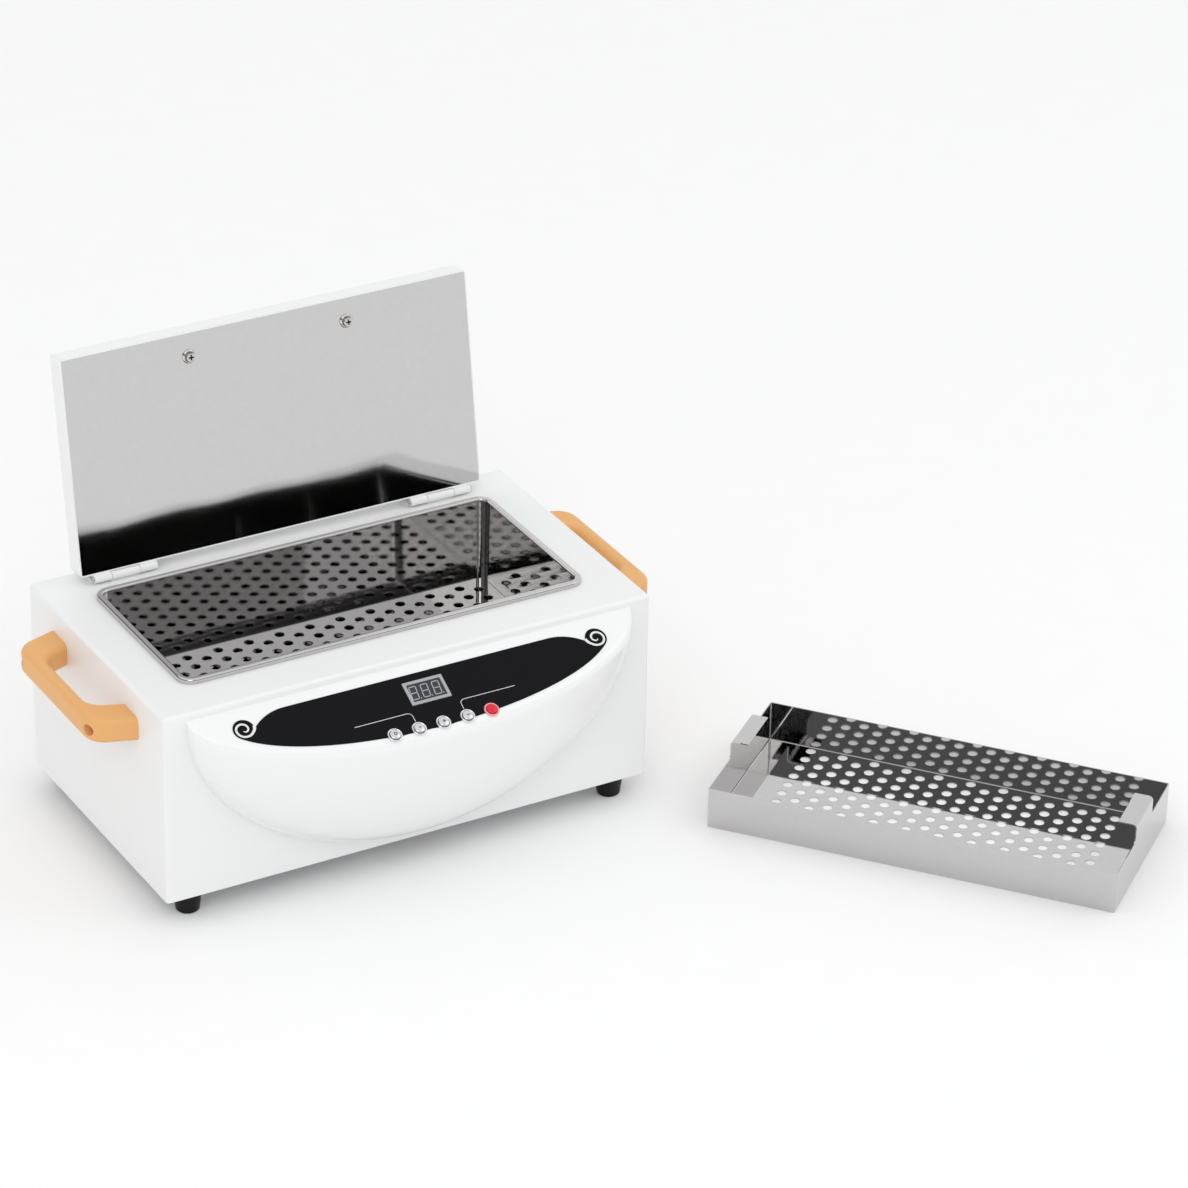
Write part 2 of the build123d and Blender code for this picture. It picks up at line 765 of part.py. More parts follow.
window_top = bezel_rise - window_setback
with BuildPart() as display_window:
    with BuildSketch(bezel_plane.offset(window_top)):
        Rectangle(opening_width, opening_height)
    extrude(amount=-window_thickness)
save(display_window, "display_window")

with BuildPart() as display_module:
    with BuildSketch(bezel_plane.offset(window_top - window_thickness)):
        Rectangle(display_width - bezel_edge - 2 * module_gap, display_height - bezel_edge - 2 * module_gap)
    extrude(amount=-(board_depth + window_top - window_thickness))
save(display_module, "display_module")

with BuildPart() as control_board:
    with BuildSketch(on_face(board_plane, 0, -(board_top + board_bottom) / 2)):
        Rectangle(board_width, board_bottom - board_top)
    extrude(amount=-board_thickness)
    for x, y in board_boss_spots:
        cut_hole(on_face(board_plane, x, y), m3_radius + thread_gap, board_thickness)
save(control_board, "control_board")

# Tact switches, each waiting a little below its button's lowest point
flange_top = -(ring_sleeve_depth + button_flange_gap)
plunger_top = flange_top - button_flange - button_travel - switch_gap
with BuildPart() as tact_switches:
    for x, y in button_spots:
        with BuildSketch(on_face(board_plane, x, y)):
            Rectangle(switch_size, switch_size)
        extrude(amount=switch_body)
        prism(on_face(board_plane, x, y), switch_size / 4, board_depth + plunger_top, sides=8)
save(tact_switches, "tact_switches")

with BuildPart() as button_bezels:
    for x, y in button_spots:
        with BuildSketch(on_face(control_plane, x, y)):
            Circle(ring_radius)
            Circle(button_radius, mode=Mode.SUBTRACT)
        extrude(amount=ring_rise)
        with BuildSketch(on_face(control_plane, x, y)):
            Circle(ring_sleeve_radius)
            Circle(button_radius, mode=Mode.SUBTRACT)
        extrude(amount=-ring_sleeve_depth)
    chamfer(button_bezels.faces().sort_by(SortBy.AREA).filter_by(control_plane).edges().filter_by(
        lambda e: abs(control_plane.to_local_coords(e.center()).Z - ring_rise) < 0.01 and e.radius > button_radius + 0.5
    ), ring_rise / 3)
save(button_bezels, "button_bezels")

# Domed buttons with a retaining flange under the ring
cap_radius = button_radius - button_running_gap
button_top = ring_rise + button_rise
for name, (x, y) in zip(button_names, button_spots):
    foot_point = on_face(control_plane, x, y)
    with BuildPart() as button:
        with BuildSketch(Plane(origin=foot_point.origin, x_dir=(1, 0, 0), z_dir=-control_plane.y_dir)):
            with BuildLine():
                shoulder = button_top - button_dome
                Polyline(
                    (0, button_top), (0, flange_top - button_flange), (button_flange_radius, flange_top - button_flange),
                    (button_flange_radius, flange_top), (cap_radius, flange_top), (cap_radius, shoulder),
                )
                TangentArc((0, button_top), (cap_radius, shoulder), tangent=(1, 0))
            make_face()
        revolve(axis=Axis(foot_point.origin, control_plane.z_dir))
    save(button, name)

# Power board on its standoffs, with its larger parts
standoff_spots = [
    (power_x + side * (power_width / 2 - standoff_inset), power_y + end * (power_depth / 2 - standoff_inset))
    for side in (-1, 1)
    for end in (-1, 1)
]
power_z = casing_z + standoff_height
with BuildPart() as board_standoffs:
    for x, y in standoff_spots:
        prism(Plane(origin=(x, y, casing_z)), standoff_radius, standoff_height)
        cut_hole(Plane(origin=(x, y, power_z)), m3_radius + thread_gap, standoff_height)
save(board_standoffs, "board_standoffs")

with BuildPart() as power_board:
    with BuildSketch(Plane(origin=(power_x, power_y, power_z))):
        Rectangle(power_width, power_depth)
    extrude(amount=board_thickness)
    for x, y in standoff_spots:
        cut_hole(Plane(origin=(x, y, power_z + board_thickness)), m3_radius + thread_gap, board_thickness)
save(power_board, "power_board")

# One kind of screw holds both boards and the standoffs
with BuildPart() as board_screws:
    for x, y in board_boss_spots:
        seat = Plane(
            origin=on_face(board_plane, x, y, -board_thickness).origin, x_dir=(1, 0, 0), z_dir=-control_plane.z_dir
        )
        add_screw(seat, m3_radius, board_thickness + standoff_height / 2, m3_head_radius, m3_head_height)
    for x, y in standoff_spots:
        top_seat = Plane(origin=(x, y, power_z + board_thickness))
        add_screw(top_seat, m3_radius, board_thickness + standoff_height / 2 - 1, m3_head_radius, m3_head_height)
        low_seat = Plane(origin=(x, y, base_z), z_dir=(0, 0, -1))
        add_screw(low_seat, m3_radius, base_sheet + standoff_height / 2 - 1, m3_head_radius, m3_head_height)
save(board_screws, "board_screws")

component_z = power_z + board_thickness
with BuildPart() as transformer:
    with BuildSketch(Plane(origin=(power_x - power_width / 4, power_y + power_depth / 8, component_z))):
        Rectangle(transformer_size[0], transformer_size[1])
    extrude(amount=transformer_size[2])
    chamfer(transformer.faces().sort_by(Axis.Z)[-1].edges(), transformer_edge)
save(transformer, "transformer")

with BuildPart() as relay:
    with BuildSketch(Plane(origin=(power_x + power_width / 5, power_y + power_depth / 5, component_z))):
        Rectangle(relay_size[0], relay_size[1])
    extrude(amount=relay_size[2])
save(relay, "relay")

with BuildPart() as terminal_block:
    block_y = power_y - power_depth / 2 + standoff_inset + terminal_size[1] / 2
    with BuildSketch(Plane(origin=(power_x, block_y, component_z))):
        Rectangle(terminal_size[0], terminal_size[1])
    extrude(amount=terminal_size[2])
    way_pitch = terminal_size[0] / terminal_ways
    with BuildSketch(Plane(origin=(power_x, block_y - terminal_size[1] / 2, component_z + 4), x_dir=(1, 0, 0), z_dir=(0, -1, 0))):
        with GridLocations(way_pitch, 1, terminal_ways, 1):
            Rectangle(way_pitch - 3, 5)
    extrude(amount=-terminal_size[1] / 2, mode=Mode.SUBTRACT)
save(terminal_block, "terminal_block")

# Snap in mains inlet with its three blades
inlet_plane = Plane(origin=(inlet_x, rear_y, rear_fitting_z), x_dir=(-1, 0, 0), z_dir=(0, 1, 0))
pin_spots = [(-pin_spacing / 2, -pin_offset), (0, pin_offset), (pin_spacing / 2, -pin_offset)]
socket_floor = inlet_flange[2] - inlet_socket[2]
with BuildPart() as power_inlet:
    with BuildSketch(inlet_plane):
        RectangleRounded(inlet_flange[0], inlet_flange[1], 2)
    extrude(amount=inlet_flange[2])
    with BuildSketch(inlet_plane):
        Rectangle(inlet_body[0], inlet_body[1])
    extrude(amount=-inlet_body[2])
    with BuildSketch(inlet_plane.offset(inlet_flange[2])):
        Rectangle(inlet_socket[0], inlet_socket[1])
        chamfer(vertices().group_by(Axis.Y)[-1], inlet_corner)
    extrude(amount=-inlet_socket[2], mode=Mode.SUBTRACT)
    with BuildSketch(inlet_plane.offset(-casing_sheet)):
        Rectangle(inlet_body[0] + 2 * clip_wedge, inlet_body[1] / 3)
        Rectangle(inlet_body[0], inlet_body[1] / 3, mode=Mode.SUBTRACT)
    extrude(amount=-clip_wedge_length)
    for x, y in pin_spots:
        with BuildSketch(on_face(inlet_plane, x, y, socket_floor)):
            Rectangle(pin_width, pin_height)
        extrude(amount=-(inlet_body[2] + socket_floor), mode=Mode.SUBTRACT)
save(power_inlet, "power_inlet")

with BuildPart() as inlet_pins:
    for x, y in pin_spots:
        with BuildSketch(on_face(inlet_plane, x, y, -inlet_body[2] - pin_tail)):
            Rectangle(pin_width, pin_height)
        extrude(amount=pin_tail + inlet_body[2] + socket_floor + pin_length)
save(inlet_pins, "inlet_pins")

# Snap in rocker switch: housing and rocker, modelled in the off position
rocker_plane = Plane(origin=(rocker_x, rear_y, rear_fitting_z), x_dir=(-1, 0, 0), z_dir=(0, 1, 0))
pivot = on_face(rocker_plane, 0, 0, rocker_flange[2] - rocker_pivot_drop)
trunnion_reach = rocker_width / 2 + trunnion_length
with BuildPart() as rocker_housing:
    with BuildSketch(rocker_plane):
        RectangleRounded(rocker_flange[0], rocker_flange[1], 1.5)
    extrude(amount=rocker_flange[2])
    with BuildSketch(rocker_plane):
        Rectangle(rocker_body[0], rocker_body[1])
    extrude(amount=-rocker_body[2])
    with BuildSketch(rocker_plane.offset(rocker_flange[2])):
        Rectangle(rocker_well[0], rocker_well[1])
    extrude(amount=-rocker_well[2], mode=Mode.SUBTRACT)
    with BuildSketch(rocker_plane.offset(-casing_sheet)):
        Rectangle(rocker_body[0] + 2 * clip_wedge, rocker_body[1] / 3)
        Rectangle(rocker_body[0], rocker_body[1] / 3, mode=Mode.SUBTRACT)
    extrude(amount=-clip_wedge_length)
    with BuildSketch(Plane(origin=pivot.origin, x_dir=(-1, 0, 0), z_dir=(0, 0, 1))):
        Circle(trunnion_radius + trunnion_gap)
    extrude(amount=trunnion_reach + trunnion_gap, both=True, mode=Mode.SUBTRACT)
save(rocker_housing, "rocker_housing")

tilt = radians(rocker_tilt)
with BuildPart() as power_rocker:
    with BuildSketch(Plane(origin=pivot.origin, x_dir=(-cos(tilt), sin(tilt), 0), z_dir=(0, 0, 1))):
        Polygon(
            (-rocker_half_length, -rocker_crown), (0, -rocker_valley), (rocker_half_length, -rocker_crown),
            (rocker_half_length, rocker_valley), (0, rocker_belly), (-rocker_half_length, rocker_valley), align=None,
        )
    extrude(amount=rocker_width / 2, both=True)
    with BuildSketch(Plane(origin=pivot.origin, x_dir=(-1, 0, 0), z_dir=(0, 0, 1))):
        Circle(trunnion_radius)
    extrude(amount=trunnion_reach, both=True)
save(power_rocker, "power_rocker")

# Carrying handles on the end walls, screwed on through their outer ends
for name, side in (("left_handle", -1), ("right_handle", 1)):
    handle_plane = Plane(
        origin=(side * side_x, handle_shift, handle_middle_z), x_dir=(0, 1, 0), z_dir=(0, 0, -side)
    )
    with BuildPart() as handle:
        add(bow_handle(
            handle_plane, handle_length, handle_outer_length, handle_reach, handle_height, handle_corner,
            handle_rounding, (grip_length, grip_inner_length, grip_depth, grip_corner),
        ))
        for end in (-1, 1):
            seat = Plane(
                origin=handle_plane.from_local_coords(Vector(end * handle_screw_pitch / 2, handle_seat, 0)),
                z_dir=(side, 0, 0),
            )
            with BuildSketch(seat):
                Circle(access_radius)
            extrude(amount=handle_reach, mode=Mode.SUBTRACT)
            cut_hole(seat, m4_radius + thread_gap, handle_seat)
    save(handle, name)

with BuildPart() as handle_screws:
    for side, y in handle_screw_spots:
        seat = Plane(origin=(side * (side_x + handle_seat), y, handle_middle_z), z_dir=(side, 0, 0))
        add_screw(seat, m4_radius, handle_seat + casing_sheet + nut_height, m4_head_radius, m4_head_height)
save(handle_screws, "handle_screws")

# Hinges: the casing leaf carries the middle knuckle, the lid leaf the two outer ones
outer_knuckle = (hinge_length - middle_knuckle) / 2 - knuckle_gap
hinge_sides = (("left", -1), ("right", 1))
axis_rise = hinge_z - top_z
leaf_clear = knuckle_radius + leaf_notch_gap
for name, side in hinge_sides:
    hinge_x = side * hinge_centre_x
    with BuildPart() as body_leaf:
        middle_plane = Plane(
            origin=(hinge_x - middle_knuckle / 2, hinge_y, hinge_z), x_dir=(0, 1, 0), z_dir=(1, 0, 0)
        )
        with BuildSketch(middle_plane):
            Circle(knuckle_radius)
            with Locations((0, -axis_rise)):
                Rectangle(knuckle_radius, axis_rise, align=(Align.MIN, Align.MIN))
            Circle(hinge_pin_radius, mode=Mode.SUBTRACT)
        extrude(amount=middle_knuckle)
        with BuildSketch(Plane(origin=(hinge_x, hinge_y, top_z))):
            with Locations((0, leaf_clear)):
                Rectangle(hinge_length, body_leaf_reach - leaf_clear, align=(Align.CENTER, Align.MIN))
            Rectangle(middle_knuckle, leaf_clear, align=(Align.CENTER, Align.MIN))
        extrude(amount=leaf_sheet)
        for end in (-1, 1):
            x = hinge_x + end * leaf_screw_pitch / 2
            cut_hole(Plane(origin=(x, hinge_y + leaf_screw_reach, top_z + leaf_sheet)), m3_radius + thread_gap, leaf_sheet)
    save(body_leaf, f"body_hinge_leaf_{name}")

    with BuildPart() as lid_leaf:
        for start, length, low in (
            (-hinge_length / 2, outer_knuckle, -1.0),
            (-hinge_length / 2 + outer_knuckle, middle_knuckle + 2 * knuckle_gap, leaf_clear),
            (hinge_length / 2 - outer_knuckle, outer_knuckle, -1.0),
        ):
            with BuildSketch(Plane(origin=(hinge_x + start, hinge_y, hinge_z), x_dir=lid_plane.y_dir, z_dir=(1, 0, 0))):
                with Locations((-lid_rear_gap, low)):
                    Rectangle(leaf_sheet, lid_leaf_reach - low, align=(Align.MIN, Align.MIN))
                if low < 0:
                    Circle(knuckle_radius)
                    with Locations((-lid_rear_gap, 0)):
                        Rectangle(lid_rear_gap, knuckle_radius, align=(Align.MIN, Align.MIN))
                    Circle(hinge_pin_radius + pin_running_gap, mode=Mode.SUBTRACT)
            extrude(amount=length)
        for end in (-1, 1):
            hole = Vector(hinge_x + end * lid_leaf_screw_pitch / 2, leaf_sheet - lid_rear_gap, lid_leaf_screw_reach)
            seat = Plane(origin=lid_plane.from_local_coords(hole), x_dir=(1, 0, 0), z_dir=lid_plane.y_dir)
            cut_hole(seat, m3_radius + thread_gap, leaf_sheet)
    save(lid_leaf, f"lid_hinge_leaf_{name}")

with BuildPart() as hinge_pins:
    for name, side in hinge_sides:
        for end in (-1, 1):
            head_plane = Plane(
                origin=(side * hinge_centre_x + end * (hinge_length / 2 + pin_head_gap), hinge_y, hinge_z),
                z_dir=(end, 0, 0),
            )
            with BuildSketch(head_plane):
                Circle(pin_head_radius)
            extrude(amount=pin_head_length)
        with BuildSketch(Plane(origin=(side * hinge_centre_x, hinge_y, hinge_z), z_dir=(1, 0, 0))):
            Circle(hinge_pin_radius)
        extrude(amount=hinge_length / 2 + pin_head_gap, both=True)
save(hinge_pins, "hinge_pins")

with BuildPart() as hinge_body_screws:
    for name, side in hinge_sides:
        for end in (-1, 1):
            x = side * hinge_centre_x + end * leaf_screw_pitch / 2
            seat = Plane(origin=(x, hinge_y + leaf_screw_reach, top_z + leaf_sheet))
            add_screw(seat, m3_radius, leaf_shank_length, leaf_head_radius, leaf_head_height)
save(hinge_body_screws, "hinge_body_screws")

lid_leaf_seats = [
    Plane(
        origin=lid_plane.from_local_coords(
            Vector(
                side * hinge_centre_x + end * lid_leaf_screw_pitch / 2,
                leaf_sheet - lid_rear_gap,
                lid_leaf_screw_reach,
            )
        ),
        x_dir=(1, 0, 0),
        z_dir=lid_plane.y_dir,
    )
    for name, side in hinge_sides
    for end in (-1, 1)
]
with BuildPart() as lid_hinge_screws:
    for seat in lid_leaf_seats:
        add_screw(seat, m3_radius, leaf_shank_length, leaf_head_radius, leaf_head_height)
save(lid_hinge_screws, "lid_hinge_screws")

# Lid: a folded shell, its mirror liner and the pad between them
lid_front = hinge_y - rim_front_y + lid_front_overhang
lid_length = lid_front - lid_rear_gap
lid_width = 2 * (rim_half_width + lid_side_overhang)
lid_middle = on_face(lid_plane, 0, -lid_rear_gap - lid_length / 2)
lid_screw_spots = [(side * lid_screw_pitch / 2, lid_screw_from_front - lid_front) for side in (-1, 1)]
with BuildPart() as lid_shell:
    with BuildSketch(lid_middle):
        RectangleRounded(lid_width, lid_length, lid_bend)
    extrude(amount=lid_thickness)
    outside = lid_shell.faces().filter_by(lid_plane).sort_by(Axis((0, 0, 0), tuple(lid_plane.z_dir)))[-1]
    fillet(outside.edges(), lid_bend)
    with BuildSketch(lid_middle):
        RectangleRounded(lid_width - 2 * lid_sheet, lid_length - 2 * lid_sheet, lid_bend - lid_sheet)
    extrude(amount=lid_thickness - lid_sheet, mode=Mode.SUBTRACT)
    for x, y in lid_screw_spots:
        cut_hole(on_face(lid_plane, x, y, lid_thickness), m4_radius + hole_gap, lid_sheet)
    for seat in lid_leaf_seats:
        cut_hole(seat, m3_radius + thread_gap, leaf_sheet + lid_sheet)
save(lid_shell, "lid_shell")

with BuildPart() as lid_liner:
    with BuildSketch(lid_middle):
        RectangleRounded(lid_width - 2 * lid_sheet, lid_length - 2 * lid_sheet, lid_bend - lid_sheet)
    extrude(amount=liner_return)
    with BuildSketch(lid_middle.offset(liner_sheet)):
        Rectangle(lid_width - 2 * (lid_sheet + liner_sheet), lid_length - 2 * (lid_sheet + liner_sheet))
    extrude(amount=liner_return, mode=Mode.SUBTRACT)
    for x, y in lid_screw_spots:
        cut_hole(on_face(lid_plane, x, y, liner_sheet), m4_radius + hole_gap, liner_sheet)
    for seat in lid_leaf_seats:
        cut_hole(seat, m3_radius + thread_gap, leaf_sheet + lid_sheet + liner_sheet)
save(lid_liner, "lid_liner")

with BuildPart() as lid_insulation:
    pad_length = lid_length - pad_rear_gap - pad_side_gap
    pad_middle = on_face(lid_plane, 0, -lid_rear_gap - pad_rear_gap - pad_length / 2, liner_sheet)
    with BuildSketch(pad_middle):
        Rectangle(lid_width - 2 * (lid_sheet + pad_side_gap), pad_length)
    extrude(amount=lid_thickness - lid_sheet - liner_sheet)
    for x, y in lid_screw_spots:
        cut_hole(on_face(lid_plane, x, y, lid_thickness), m4_radius + hole_gap, lid_thickness)
save(lid_insulation, "lid_insulation")

# Cup washers and screws that show on the liner and hold the lid's handle
with BuildPart() as lid_screw_cups:
    for x, y in lid_screw_spots:
        with BuildSketch(on_face(lid_plane, x, y)):
            Circle(cup_radius)
        with BuildSketch(on_face(lid_plane, x, y, -cup_height)):
            Circle(cup_top_radius)
        loft()
        prism(on_face(lid_plane, x, y), m4_radius + hole_gap, -cup_height, mode=Mode.SUBTRACT)
save(lid_screw_cups, "lid_screw_cups")

with BuildPart() as lid_handle_screws:
    for x, y in lid_screw_spots:
        seat = Plane(
            origin=on_face(lid_plane, x, y, -cup_height).origin, x_dir=(1, 0, 0), z_dir=-lid_plane.z_dir
        )
        prism(seat, m4_radius, -(cup_height + lid_thickness + lid_screw_depth))
        with BuildSketch(seat):
            Circle(m4_head_radius)
        extrude(amount=m4_head_height)
        head = lid_handle_screws.edges().filter_by(GeomType.CIRCLE)
        fillet(head.filter_by(lambda e: (e.center() - seat.origin).dot(seat.z_dir) > 1 and
               (e.center() - seat.origin).length < 5), m4_head_height / 2)
save(lid_handle_screws, "lid_handle_screws")

with BuildPart() as lid_handle:
    lid_handle_plane = Plane(
        origin=on_face(lid_plane, 0, lid_screw_from_front - lid_front, lid_thickness).origin,
        x_dir=(1, 0, 0),
        z_dir=-lid_plane.y_dir,
    )
    add(bow_handle(
        lid_handle_plane, lid_handle_length, lid_handle_outer_length, lid_handle_height, lid_handle_depth,
        lid_handle_corner, lid_handle_rounding,
        (lid_grip_length, lid_grip_inner_length, lid_grip_depth, lid_grip_corner),
    ))
    for x, y in lid_screw_spots:
        prism(on_face(lid_plane, x, y, lid_thickness), m4_radius + thread_gap, lid_screw_depth + 1, mode=Mode.SUBTRACT)
save(lid_handle, "lid_handle")

# Perforated instrument tray with a folded grip at each end
tray_width = chamber_width - 2 * tray_gap
tray_depth = chamber_depth - 2 * tray_gap
with BuildPart() as instrument_tray:
    with BuildSketch(tray_plane):
        Rectangle(tray_width, tray_depth)
    extrude(amount=tray_height)
    with BuildSketch(tray_plane.offset(tray_sheet)):
        Rectangle(tray_width - 2 * tray_sheet, tray_depth - 2 * tray_sheet)
    extrude(amount=tray_height, mode=Mode.SUBTRACT)
    with BuildSketch(tray_plane):
        add(punched_field(Plane.XY, tray_columns, tray_rows, tray_pitch_y))
    extrude(amount=tray_sheet, mode=Mode.SUBTRACT)
    for side in (-1, 1):
        tab_plane = Plane(
            origin=on_face(tray_plane, side * tray_width / 2, 0, tray_height).origin,
            x_dir=-side * tray_plane.x_dir,
            z_dir=side * tray_plane.y_dir,
        )
        with BuildSketch(tab_plane):
            with BuildLine():
                FilletPolyline(
                    (0, 0), (0, tray_tab_rise), (tray_tab_fold, tray_tab_rise), radius=tray_tab_bend
                )
                Line((tray_tab_fold, tray_tab_rise), (tray_tab_fold, tray_tab_rise - tray_sheet))
                FilletPolyline(
                    (tray_tab_fold, tray_tab_rise - tray_sheet),
                    (tray_sheet, tray_tab_rise - tray_sheet),
                    (tray_sheet, 0),
                    radius=tray_tab_bend - tray_sheet,
                )
                Line((tray_sheet, 0), (0, 0))
            make_face()
        extrude(amount=tray_tab_length / 2, both=True)
        root_plane = Plane(
            origin=tab_plane.origin, x_dir=-side * tray_plane.y_dir, z_dir=-side * tray_plane.x_dir
        )
        with BuildSketch(root_plane):
            tab_half = tray_tab_length / 2
            Polygon(
                (-tab_half - tray_tab_root, 0), (tab_half + tray_tab_root, 0), (tab_half, tray_tab_root),
                (-tab_half, tray_tab_root), align=None,
            )
        extrude(amount=tray_sheet)
save(instrument_tray, "instrument_tray")
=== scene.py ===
import math

import bmesh
import bpy
from bpy.props import FloatProperty, FloatVectorProperty, IntProperty, PointerProperty
from mathutils import Matrix, Vector


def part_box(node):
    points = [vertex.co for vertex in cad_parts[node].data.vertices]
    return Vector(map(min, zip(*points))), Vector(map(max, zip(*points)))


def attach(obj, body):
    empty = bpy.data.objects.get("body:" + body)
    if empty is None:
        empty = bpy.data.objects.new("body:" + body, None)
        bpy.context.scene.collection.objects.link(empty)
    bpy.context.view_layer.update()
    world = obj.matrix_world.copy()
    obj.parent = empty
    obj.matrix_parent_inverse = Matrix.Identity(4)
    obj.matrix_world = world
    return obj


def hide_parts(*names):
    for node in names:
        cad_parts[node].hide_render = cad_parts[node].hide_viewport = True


bl_info = {
    "name": "Bench sterilizer dressing",
    "version": (1, 0, 0),
    "blender": (4, 5, 0),
    "location": "3D View > Sidebar > Sterilizer",
    "description": "Gives the packed dry heat sterilizer its fine shapes and finishes",
    "category": "Object",
}

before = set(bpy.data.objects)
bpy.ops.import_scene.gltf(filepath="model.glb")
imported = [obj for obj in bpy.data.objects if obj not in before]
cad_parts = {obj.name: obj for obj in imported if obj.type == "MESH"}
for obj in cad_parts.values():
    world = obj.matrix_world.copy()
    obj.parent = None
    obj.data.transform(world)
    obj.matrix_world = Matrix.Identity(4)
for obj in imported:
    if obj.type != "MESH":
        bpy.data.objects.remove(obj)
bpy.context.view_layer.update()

# Shapes are worked out in millimetres and turned into metres when a piece is made.
MM = 0.001


def screen_colour(red, green, blue):
    """A colour given as it shows on a screen, from 0 to 255, as the shader takes it."""

    def linear(value):
        value /= 255
        return value / 12.92 if value <= 0.04045 else ((value + 0.055) / 1.055) ** 2.4

    return linear(red), linear(green), linear(blue)


def seat(origin, across, up):
    """A work face as a matrix: x runs across, y runs up, z stands out of it."""
    across, up = Vector(across).normalized(), Vector(up).normalized()
    face = Matrix((across, up, across.cross(up))).transposed().to_4x4()
    face.translation = Vector(origin)
    return face


def moved(face, x, y, z=0.0):
    """The same work face with its origin moved along its own directions."""
    return face @ Matrix.Translation((x, y, z))


CONTROL_SLOPE = math.radians(27.5)
LID_ANGLE = math.radians(98.9)
TRAY_TURN = math.radians(-50.6)

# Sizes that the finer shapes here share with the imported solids, in millimetres.
FASCIA_TOP = (0, -104, 150)
BOW_HALF_WIDTH, BOW_DEPTH, BOW_DROP = 164, 52.2, 125
TANK_HALF_X, TANK_HALF_Y = 145, 65.75
TANK_BOTTOM, RIM_TOP, RIM_REACH = 86.0, 158.6, 5
TRAY_HALF_X, TRAY_HALF_Y, TRAY_HEIGHT, TRAY_SHEET = 143.0, 63.75, 30.0, 0.8
HOLE_PITCH = 11.6

BENCH = Matrix.Identity(4)
CHAMBER = Matrix.Translation((0, -1.0, 0))
CONTROL = seat(FASCIA_TOP, (1, 0, 0), (0, math.cos(CONTROL_SLOPE), math.sin(CONTROL_SLOPE)))
LINER = seat((0, 81.2, 158.9), (1, 0, 0), (0, -math.cos(LID_ANGLE), math.sin(LID_ANGLE)))
TRAY = seat(
    (335.2, -231.0, 0),
    (math.cos(TRAY_TURN), math.sin(TRAY_TURN), 0),
    (-math.sin(TRAY_TURN), math.cos(TRAY_TURN), 0),
)

BUTTON_PITCH, BUTTON_ROW = 17.8, -49.3
BUTTON_SPOTS = [(BUTTON_PITCH * place, BUTTON_ROW) for place in (-2, -1, 0, 1, 2)]
DISPLAY_SPOT = (0, -22.7)
DISPLAY_SIZE = (29.0, 18.0)
SCROLL_SPOT = (129.9, -16.8)

# A point on the axis of a turned piece is a ring this small, which welds to one point.
AXIS_RADIUS = 1e-4


# Shapes


class Form:
    """Points and faces of one piece while it is being shaped."""

    def __init__(self):
        self.points = []
        self.faces = []
        self.finish_of = []

    def add(self, shape, face=BENCH, finish=0):
        points, faces = shape
        start = len(self.points)
        self.points += [face @ Vector(point) for point in points]
        self.faces += [[start + corner for corner in corners] for corners in faces]
        self.finish_of += [finish] * len(faces)
        return self


def loft(rings, closed=True, first_end=False, last_end=False):
    """Skin that joins rings of the same number of points in turn."""
    count = len(rings[0])
    points = [point for ring in rings for point in ring]
    faces = []
    for row in range(len(rings) - 1):
        for place in range(count if closed else count - 1):
            after = (place + 1) % count
            a, b = row * count, (row + 1) * count
            faces.append([a + place, a + after, b + after, b + place])
    if first_end:
        faces.append(list(range(count))[::-1])
    if last_end:
        faces.append([(len(rings) - 1) * count + place for place in range(count)])
    return points, faces


def turned(profile, steps=40):
    """Round piece turned about z from a profile of radius and height, from its foot to its top."""
    rings = []
    for radius, height in profile:
        rings.append([(x, y, height) for x, y in circle(0, 0, max(radius, AXIS_RADIUS), steps)])
    return loft(rings, first_end=profile[0][0] == 0, last_end=profile[-1][0] == 0)


def rounded_box(half_x, half_y, radius, steps=8):
    """Outline of a rectangle with rounded corners."""
    outline = []
    for corner, (side, end) in enumerate(((1, 1), (-1, 1), (-1, -1), (1, -1))):
        for step in range(steps + 1):
            turn = (corner + step / steps) * math.pi / 2
            outline.append(
                (
                    side * (half_x - radius) + radius * math.cos(turn),
                    end * (half_y - radius) + radius * math.sin(turn),
                )
            )
    return outline


def circle(x, y, radius, steps=24):
    """Outline of a round hole or disc."""
    turns = [2 * math.pi * step / steps for step in range(steps)]
    return [(x + radius * math.cos(turn), y + radius * math.sin(turn)) for turn in turns]


def cross(arm, width):
    """Outline of a cross recess."""
    w = width / 2
    return [(w, w), (w, arm), (-w, arm), (-w, w), (-arm, w), (-arm, -w), (-w, -w), (-w, -arm), (w, -arm),
            (w, -w), (arm, -w), (arm, w)]


def cut_sheet(outline, holes=(), thickness=0.0, rounding=0.0):
    """Flat sheet cut to an outline with holes, its cut edges rounded, lying on z 0."""
    curve = bpy.data.curves.new("cut_sheet", "CURVE")
    curve.dimensions = "2D"
    curve.fill_mode = "BOTH"
    curve.extrude = thickness / 2 - rounding
    curve.bevel_depth = rounding
    curve.bevel_resolution = 1
    curve.offset = -rounding
    for ring in (outline, *holes):
        spline = curve.splines.new("POLY")
        spline.points.add(len(ring) - 1)
        for point, (x, y) in zip(spline.points, ring):
            point.co = (x, y, 0, 1)
        spline.use_cyclic_u = True
    holder = bpy.data.objects.new("cut_sheet", curve)
    mesh = bpy.data.meshes.new_from_object(holder)
    points = [(v.co.x, v.co.y, v.co.z + thickness / 2) for v in mesh.vertices]
    faces = [list(p.vertices) for p in mesh.polygons]
    bpy.data.objects.remove(holder)
    bpy.data.meshes.remove(mesh)
    bpy.data.curves.remove(curve)
    return points, faces


